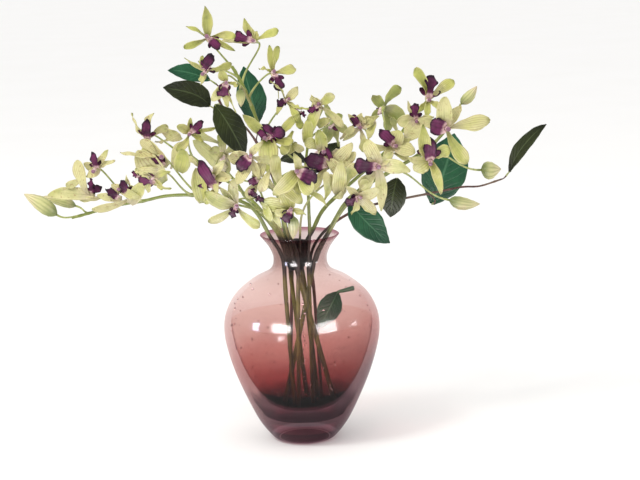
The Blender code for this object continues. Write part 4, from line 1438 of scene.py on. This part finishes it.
blooms = [make_flower(f"{spray}_flower_{number}", spray + "_spray_stem", row)
          for spray, rows in SPRAYS.items() for number, row in enumerate(rows, 1)]
print(len(blooms), "flowers,", len(blooms[0].data.polygons), "faces in the first")

# %% [markdown]
# ## The buds
# A closed bud is three sepals folded round each other, so it is round with three soft seams, full
# near its base and pointed at its tip. It is spun, grooved along the seams, and laid along its line.

# %% Bud finish


def bud_finish():
    """Green at the base, cream and a little rose towards the tip, with fine ribs."""
    finish = Finish("bud skin")
    along, around = finish.along_and_across()
    cloud = finish.noise(60.0, 3.0)
    ribs = (around * 36.0 + cloud.swing(3.0)).ridges(2.0)
    ripe = along + cloud.swing(0.5)
    tone = finish.paint(
        colour(122, 134, 72),
        (ripe.step(0.05, 0.50), colour(200, 198, 138)),
        (ripe.step(0.45, 1.0) * 0.8, colour(232, 216, 176)),
        (ribs * (cloud.step(0.3, 0.6) * 0.4 + 0.15), colour(128, 138, 80)),
        (cloud.step(0.56, 0.72) * 0.3, colour(214, 180, 156)))
    normal = finish.bump(ribs * 0.6 + finish.noise(600.0) * 0.3, 0.4 * MM)
    return finish.show(finish.principled(Base_Color=tone, Roughness=cloud * 0.2 + 0.4, Normal=normal))


bud_skin = bud_finish()
print("finish:", bud_skin.name)

# %% Buds
BUDS = {
    # the stem that carries it, its base and its tip in the picture with their depths, its width
    "left_tip_bud_1": ("left_spray_stem", (57, 215, -26), (24, 194, -26), 15.5),
    "left_tip_bud_2": ("left_spray_stem", (76, 206, -12), (41, 197, -10), 11.0),
    "tall_left_bud": ("tall_left_spray_stem", (240, 89, -16), (241, 107, -20), 9.5),
    "top_right_bud": ("right_spray_stem", (461, 104, 6), (477, 86, 6), 11.0),
    "round_right_bud": ("right_spray_stem", (481, 170, -2), (501, 169, -2), 18.0),
    "low_right_bud": ("right_spray_stem", (449, 200, -14), (480, 204, -14), 13.0),
    "lip_bud": ("front_spray_stem", (293, 216, -60), (293, 239, -58), 11.0),
}
BUD_SIDES, BUD_ROWS, BUD_LEANS = 24, 18, (0.05, 0.12)
SEAM_COUNT, SEAM_DEPTH, SEAM_POWER, SEAM_TWIST, SEAM_START = 3, 0.16, 6, 1.4, 4.0


def map_round(bm, length):
    """A map that runs up the bud and once round it, without a torn strip where the turn closes."""
    uv = bm.loops.layers.uv.new("UVMap")
    for face in bm.faces:
        middle = face.calc_center_median()
        centre = math.atan2(middle.y, middle.x)
        for loop in face.loops:
            angle = math.atan2(loop.vert.co.y, loop.vert.co.x)
            angle += math.tau * round((centre - angle) / math.tau)
            loop[uv].uv = (loop.vert.co.z / length, angle / math.tau + 0.5)


def make_bud(name, row):
    stem_name, base, tip, width = row
    base, tip = seen(*base), seen(*tip)
    way = (tip - base).normalized()
    length = (tip - base).length
    draw = random.Random(name)
    shares = [step / BUD_ROWS for step in range(BUD_ROWS + 1)]
    side = [Vector((width_at("bud", share) * width / 2 * MM, 0, share * length)) for share in shares]
    bm = turned([Vector((0, 0, 0))] + side + [Vector((0, 0, length))], BUD_SIDES)
    map_round(bm, length)
    seam_turn = draw.uniform(0, math.tau)
    lean = draw.uniform(*BUD_LEANS) / 2 * length
    for vert in bm.verts:
        share = vert.co.z / length
        around = math.atan2(vert.co.y, vert.co.x) * SEAM_COUNT + seam_turn + share * SEAM_TWIST
        seam = max(0.0, math.cos(around)) ** SEAM_POWER
        press = 1 - SEAM_DEPTH * seam * min(1.0, share * SEAM_START)
        vert.co.x, vert.co.y = vert.co.x * press, vert.co.y * press
        vert.co.x += lean * math.sin(share * math.pi)
    turn = Vector((0, 0, 1)).rotation_difference(way).to_matrix().to_4x4()
    bmesh.ops.transform(bm, matrix=Matrix.Translation(base) @ turn, verts=bm.verts)
    stalk_ends[stem_name].append((base - way * SEAT_GAP * MM, way))
    return keep(bm, name + "_closed", [bud_skin], [name])


buds = [make_bud(name, row) for name, row in BUDS.items()]
print(len(buds), "buds")

# %% [markdown]
# ## The leaves
# The twigs carry broad leathery leaves: dark green above with a pale midrib and arching side
# veins, paler below. A leaf is a sheet like a petal, but folded a little along its midrib, with a
# stalk that runs on into the midrib. The midrib lies in a groove of the sheet. The side veins are
# too fine for that, so the finish draws them, with a bump, from the leaf's own map.

# %% Leaf finish


def leaf_finish(name, deep, fresh, vein):
    finish = Finish(name)
    along, across = finish.along_and_across()
    edge = across.size()
    cloud = finish.noise(30.0, 3.0)
    ribs = (along * 52.0 - edge * 15.0 + cloud.swing(2.0)).ridges(10.0)
    ribs = ribs * edge.step(1.0, 0.6) * edge.step(0.02, 0.12)
    midrib = edge.step(0.075, 0.02) * along.step(1.0, 0.75)
    tone = finish.paint(
        deep,
        (cloud.step(0.3, 0.7), fresh),
        (finish.noise(240.0, 3.0).step(0.4, 0.7) * 0.35, deep),
        (ribs * 0.22, vein),
        (midrib * 0.65, vein),
        (edge.step(0.93, 1.0) * 0.25, vein))
    normal = finish.bump(ribs * -0.8 + finish.noise(260.0, 4.0) * 0.5, 0.6 * MM)
    return finish.show(finish.principled(
        Base_Color=tone, Roughness=cloud * 0.25 + 0.38, Normal=normal, Specular_IOR_Level=0.24))


leaf_dark = leaf_finish("leaf dark", colour(16, 20, 7), colour(48, 56, 22), colour(84, 96, 62))
leaf_teal = leaf_finish("leaf teal", colour(20, 62, 44), colour(44, 98, 66), colour(84, 132, 98))
leaf_under = leaf_finish(
    "leaf underside", colour(74, 90, 62), colour(100, 118, 82), colour(136, 148, 108))
print("three leaf finishes")

# %% Leaves
# The twig that carries it, then the foot of its stalk, the start of its blade and its tip, each in
# the picture and with a depth, its width, the way its face looks (degrees right, degrees up), its
# droop, which is about half of how far the middle of the blade stands out in millimetres, and how
# many degrees it bends to one side
LEAVES = {
    "left_leaf_1": (
        "left_leaf_twig", (216, 84, 34), (210, 80, 32), (168, 70, 26), 18, (-10, 30), 2, 10),
    "left_leaf_2": (
        "left_leaf_twig", (217, 110, 30), (210, 106, 26), (163, 88, 10), 24, (-5, 15), 4, 50),
    "left_leaf_3": (
        "left_leaf_twig", (219, 104, 22), (215, 105, 14), (245, 156, 0), 28, (5, 10), 3, -12),
    "left_leaf_4": (
        "left_leaf_twig", (258, 130, 56), (258, 123, 58), (243, 67, 52), 29, (5, 5), 3, 0),
    "left_leaf_5": (
        "left_leaf_twig", (274, 160, 56), (280, 160, 56), (309, 163, 50), 16, (0, 50), 3, 0),
    "right_leaf_1": (
        "right_leaf_twig", (350, 206, 6), (350, 202, -2), (390, 243, -14), 31, (20, 25), 2, 35),
    "right_leaf_2": (
        "right_leaf_twig", (399, 185, 2), (397, 178, 0), (391, 217, -8), 27, (-15, 5), 3, 0),
    "right_leaf_3": (
        "right_leaf_twig", (434, 203, 30), (432, 204, 36), (455, 134, 54), 46, (-10, 0), 4, 12),
    "right_leaf_4": (
        "right_leaf_twig", (506, 176, 3), (509, 172, 3), (546, 124, -2), 15, (-35, 10), 3, -20),
    "back_leaf": (
        "left_leaf_twig", (300, 176, 66), (312, 172, 66), (340, 142, 60), 22, (10, 20), 3, 0),
    "sunken_leaf": (
        None, (353.5, 288, -6), (338, 292, -12), (319, 328, -30), 23, (0, 10), 2, 0),
}
TEAL_LEAVES = ("left_leaf_1", "left_leaf_4", "right_leaf_1", "right_leaf_3", "sunken_leaf")
LEAF_GRID = (32, 14)
LEAF_THICKNESS = 0.7 * MM
DROOP_TURN = -16
MIDRIB_DROP = 0.7 * MM
LEAF_STALK, SUNKEN_STALK, MIDRIB_END = 0.95, 2.5, 0.3
STALK_MIDDLE, FIRST_DROP, RIB_NEAR, RIB_FAR, RIB_STEPS = 0.6, 0.6, 0.12, 0.3, 4


def make_leaf(name, row):
    twig, stalk, start, tip, width, look, droop, sway = row
    stalk, start, tip = seen(*stalk), seen(*start), seen(*tip)
    draw = random.Random(name)
    look = facing(*look)
    line = tip - start
    outward = line.normalized()
    lift = (look - outward * look.dot(outward)).normalized()
    fold = draw.uniform(0.25, 0.55)
    bm = new_mesh()
    grow_sheet(bm, start, tip, look, {
        "outline": "leaf",
        "width": width * MM,
        "curl": droop * MM * DROOP_TURN / line.length,
        "sway": math.radians(sway),
        "twist": random_turn(draw, -14, 14),
        "wrap": (fold, fold * 0.5),
        "ripple": draw.uniform(0.5, 1.3) * MM,
        "waves": draw.uniform(8, 13),
        "phase": draw.uniform(0, 6),
        "groove": 0.9 * MM,
        "thickness": LEAF_THICKNESS,
        "grid": LEAF_GRID,
    }, 0)
    way = (start - stalk).normalized()
    under = lift * -MIDRIB_DROP
    path = smooth_curve([
        stalk, stalk.lerp(start, STALK_MIDDLE), start + under * FIRST_DROP,
        start + outward * line.length * RIB_NEAR + under,
        start + outward * line.length * RIB_FAR + under], RIB_STEPS)
    thick = LEAF_STALK if twig else SUNKEN_STALK
    grow_tube(bm, path, tapering(path, thick, MIDRIB_END), STALK_SIDES, slot=2 if twig else 0)
    if twig:
        stalk_ends[twig].append((stalk - way * SEAT_GAP * MM, way))
    face = leaf_teal if name in TEAL_LEAVES else leaf_dark
    return keep(bm, name + "_blade", [face, leaf_under, stalk_green], [name])


leaves = [make_leaf(name, row) for name, row in LEAVES.items()]
print(len(leaves), "leaves,", len(leaves[0].data.polygons), "faces in the first")

# %% [markdown]
# ## Growing the stems
# With every stalk's end known, each stem can grow. A stalk leaves its stem where the way is short
# and the angle easy, swells a little at its foot, and thins towards its flower.

# %% Stalk routes
LOWEST_STALK = 6.0
SET_OFF, ARRIVE = 0.35, 0.40
STEM_PULL = 0.6
STALK_STEPS = 14
EASY_LEAN, STEEP_COST = 0.55, 2.0


def best_place(points, end, used):
    """The point of a stem that a stalk to this end leaves from: near, and at an easy forward angle."""
    ways = ways_along(points)
    costs = {}
    for i in range(COARSE_STEPS, len(points) - 1):
        if i in used or points[i].z < (LIP_LEVEL + LOWEST_STALK) * MM:
            continue
        span = end - points[i]
        lean = span.normalized().dot(ways[i])
        costs[i] = span.length * (1.0 + max(0.0, EASY_LEAN - lean) * STEEP_COST)
    best = min(costs, key=costs.get)
    used.add(best)
    return best


def stalk_path(start, stem_way, end, end_way):
    """An easy curve out of the stem that arrives along end_way."""
    aim = (end - start).normalized()
    reach = (end - start).length
    leave = start + (aim + stem_way * STEM_PULL).normalized() * reach * SET_OFF
    arrive = end - end_way * reach * ARRIVE
    path = []
    for step in range(STALK_STEPS + 1):
        t = step / STALK_STEPS
        path.append(start * (1 - t) ** 3 + leave * 3 * t * (1 - t) ** 2
                    + arrive * 3 * t * t * (1 - t) + end * t ** 3)
    return path


print(sum(len(ends) for ends in stalk_ends.values()), "stalks to grow")

# %% Stems and stalks
BACK_OFF = 6.0
TWIG_SLIM, STEM_SLIM = 0.55, 0.85
FOOT_SWELL, FOOT_POWER, END_SWELL, END_POWER = 0.75, 6, 0.30, 8
KNOT_SWELL, KNOT_LENGTH, FAR_FROM_KNOTS = 0.30, 1.3, 99
WAVE_SWELL, WAVE_PACE = 0.04, 0.9


def make_stem(name):
    spec = STEMS[name]
    woody = "twig" in name
    slim = TWIG_SLIM if woody else STEM_SLIM
    coarse = smooth_curve(stem_points(name), COARSE_STEPS)
    ways = ways_along(coarse)
    used = set()
    bm = new_mesh()
    stalk_radii = []
    for step in range(STALK_STEPS + 1):
        t = step / STALK_STEPS
        stalk_radii.append((slim + FOOT_SWELL * (1 - t) ** FOOT_POWER + END_SWELL * t ** END_POWER) * MM)
    for end, way in stalk_ends[name]:
        place = best_place(coarse, end - way * BACK_OFF * MM, used)
        path = stalk_path(coarse[place], ways[place], end + way * SEAT_GAP * MM, way)
        grow_tube(bm, path, stalk_radii, STALK_SIDES, slot=0 if woody else 1)
    path = smooth_curve(coarse, FINE_STEPS)
    radii = []
    for i, radius in enumerate(tapering(path, *spec["radius"])):
        near = min((abs(i - FINE_STEPS * place) for place in used), default=FAR_FROM_KNOTS)
        radius *= 1 + KNOT_SWELL * math.exp(-(near / KNOT_LENGTH) ** 2)
        radii.append(radius * (1 + WAVE_SWELL * math.sin(i * WAVE_PACE + len(name))))
    grow_tube(bm, path, radii, STEM_SIDES, slot=0)
    finishes = [twig_brown] if woody else [stem_green, stalk_green]
    return keep(bm, name + "_grown", finishes, [name])


stems = [make_stem(name) for name in STEMS]
print(len(stems), "stems grown")

# %% [markdown]
# ## Loose stalks
# Low in the middle the photograph shows a lattice of pale stalks whose flowers are hidden. They
# start on the stems in the neck and end behind the lowest flowers.

# %% Loose stalks
LOOSE_STALKS = (
    ((287, 262, -8), (279, 238, -11), (264, 213, -23), (247, 200, -36), (238, 186, -46)),
    ((292, 262, -12), (285, 239, -18), (272, 214, -40), (262, 196, -52), (256, 176, -62), (251, 160, -70)),
    ((289, 262, -8), (281, 238, -12), (264, 213, -29), (246, 207, -46), (237, 205, -62)),
    ((294, 262, -14), (289, 239, -20), (283, 216, -44), (277, 196, -58), (264, 182, -66), (252, 176, -70)),
    ((287, 260, 0), (279, 237, -4), (258, 212, -13), (232, 203, -18), (214, 196, -24), (205, 186, -40)),
    ((290, 262, -10), (282, 237, -15), (270, 218, -28), (252, 205, -34), (238, 184, -40), (228, 172, -46)),
    ((300, 262, -8), (300, 238, -14), (302, 214, -20), (312, 196, -26), (330, 180, -30)),
    ((316, 262, 4), (321, 249, 3), (330, 232, 1), (341, 213, -4), (352, 200, -16), (356, 197, -32)),
)
LOOSE_STEPS, LOOSE_RADII = 5, (1.25, 0.85)


def make_loose_stalks():
    bm = new_mesh()
    for row in LOOSE_STALKS:
        path = smooth_curve([seen(*place) for place in row], LOOSE_STEPS)
        grow_tube(bm, path, tapering(path, *LOOSE_RADII), STALK_SIDES)
    return keep(bm, "loose_stalks", [stalk_green])


loose_stalks = make_loose_stalks()
print(len(LOOSE_STALKS), "loose stalks,", len(loose_stalks.data.polygons), "faces")

# %% [markdown]
# ## A dark tube in the neck
# The stems crowd in the neck of the vase, and there they and the shade between them look nearly
# black. One ragged tube round the middle stems, with a wavy radius, stands for both: partly the
# crowded stems, partly painted shade.

# %% Dark neck tube
# Across, depth, height and radius, in millimetres
NECK_TUBE = (
    (-3.5, 1.0, 170.0, 4.0), (-3.5, 1.0, 174.0, 7.6), (-3.0, 0.0, 182.0, 9.8), (-2.5, -1.0, 191.0, 11.0),
    (-2.0, -2.0, 199.0, 9.8),
)
NECK_TUBE_SIDES, NECK_TUBE_STEPS = 28, 5
NECK_TUBE_AXIS = -3.0
RAG_COUNT, RAG_TIMES, RAG_DEPTHS, RAG_CLIMB = 5, (3, 9), (0.3, 0.8), 160


def make_crowd_and_shade_tube():
    draw = random.Random(11)
    bm = new_mesh()
    path = smooth_curve([Vector(row[:3]) * MM for row in NECK_TUBE], NECK_TUBE_STEPS)
    spans = len(NECK_TUBE) - 1
    radii = []
    for step in range(len(path)):
        share = step / (len(path) - 1) * spans
        index = min(int(share), spans - 1)
        radii.append(eased(NECK_TUBE[index][3], NECK_TUBE[index + 1][3], share - index) * MM)
    grow_tube(bm, path, radii, NECK_TUBE_SIDES)
    rags = [(draw.randint(*RAG_TIMES), draw.uniform(0, 6), draw.uniform(*RAG_DEPTHS))
            for _ in range(RAG_COUNT)]
    for vert in bm.verts:
        turn = math.atan2(vert.co.y, vert.co.x - NECK_TUBE_AXIS * MM)
        climb = vert.co.z * RAG_CLIMB
        push = sum(depth * math.sin(times * turn + start + climb) for times, start, depth in rags)
        vert.co += Vector((math.cos(turn), math.sin(turn), 0)) * push * MM
    return keep(bm, "neck_crowd_and_shade", [crowd_and_shade_skin])


crowd_and_shade_tube = make_crowd_and_shade_tube()
print("crowd_and_shade_tube", len(crowd_and_shade_tube.data.polygons), "faces")

# %% [markdown]
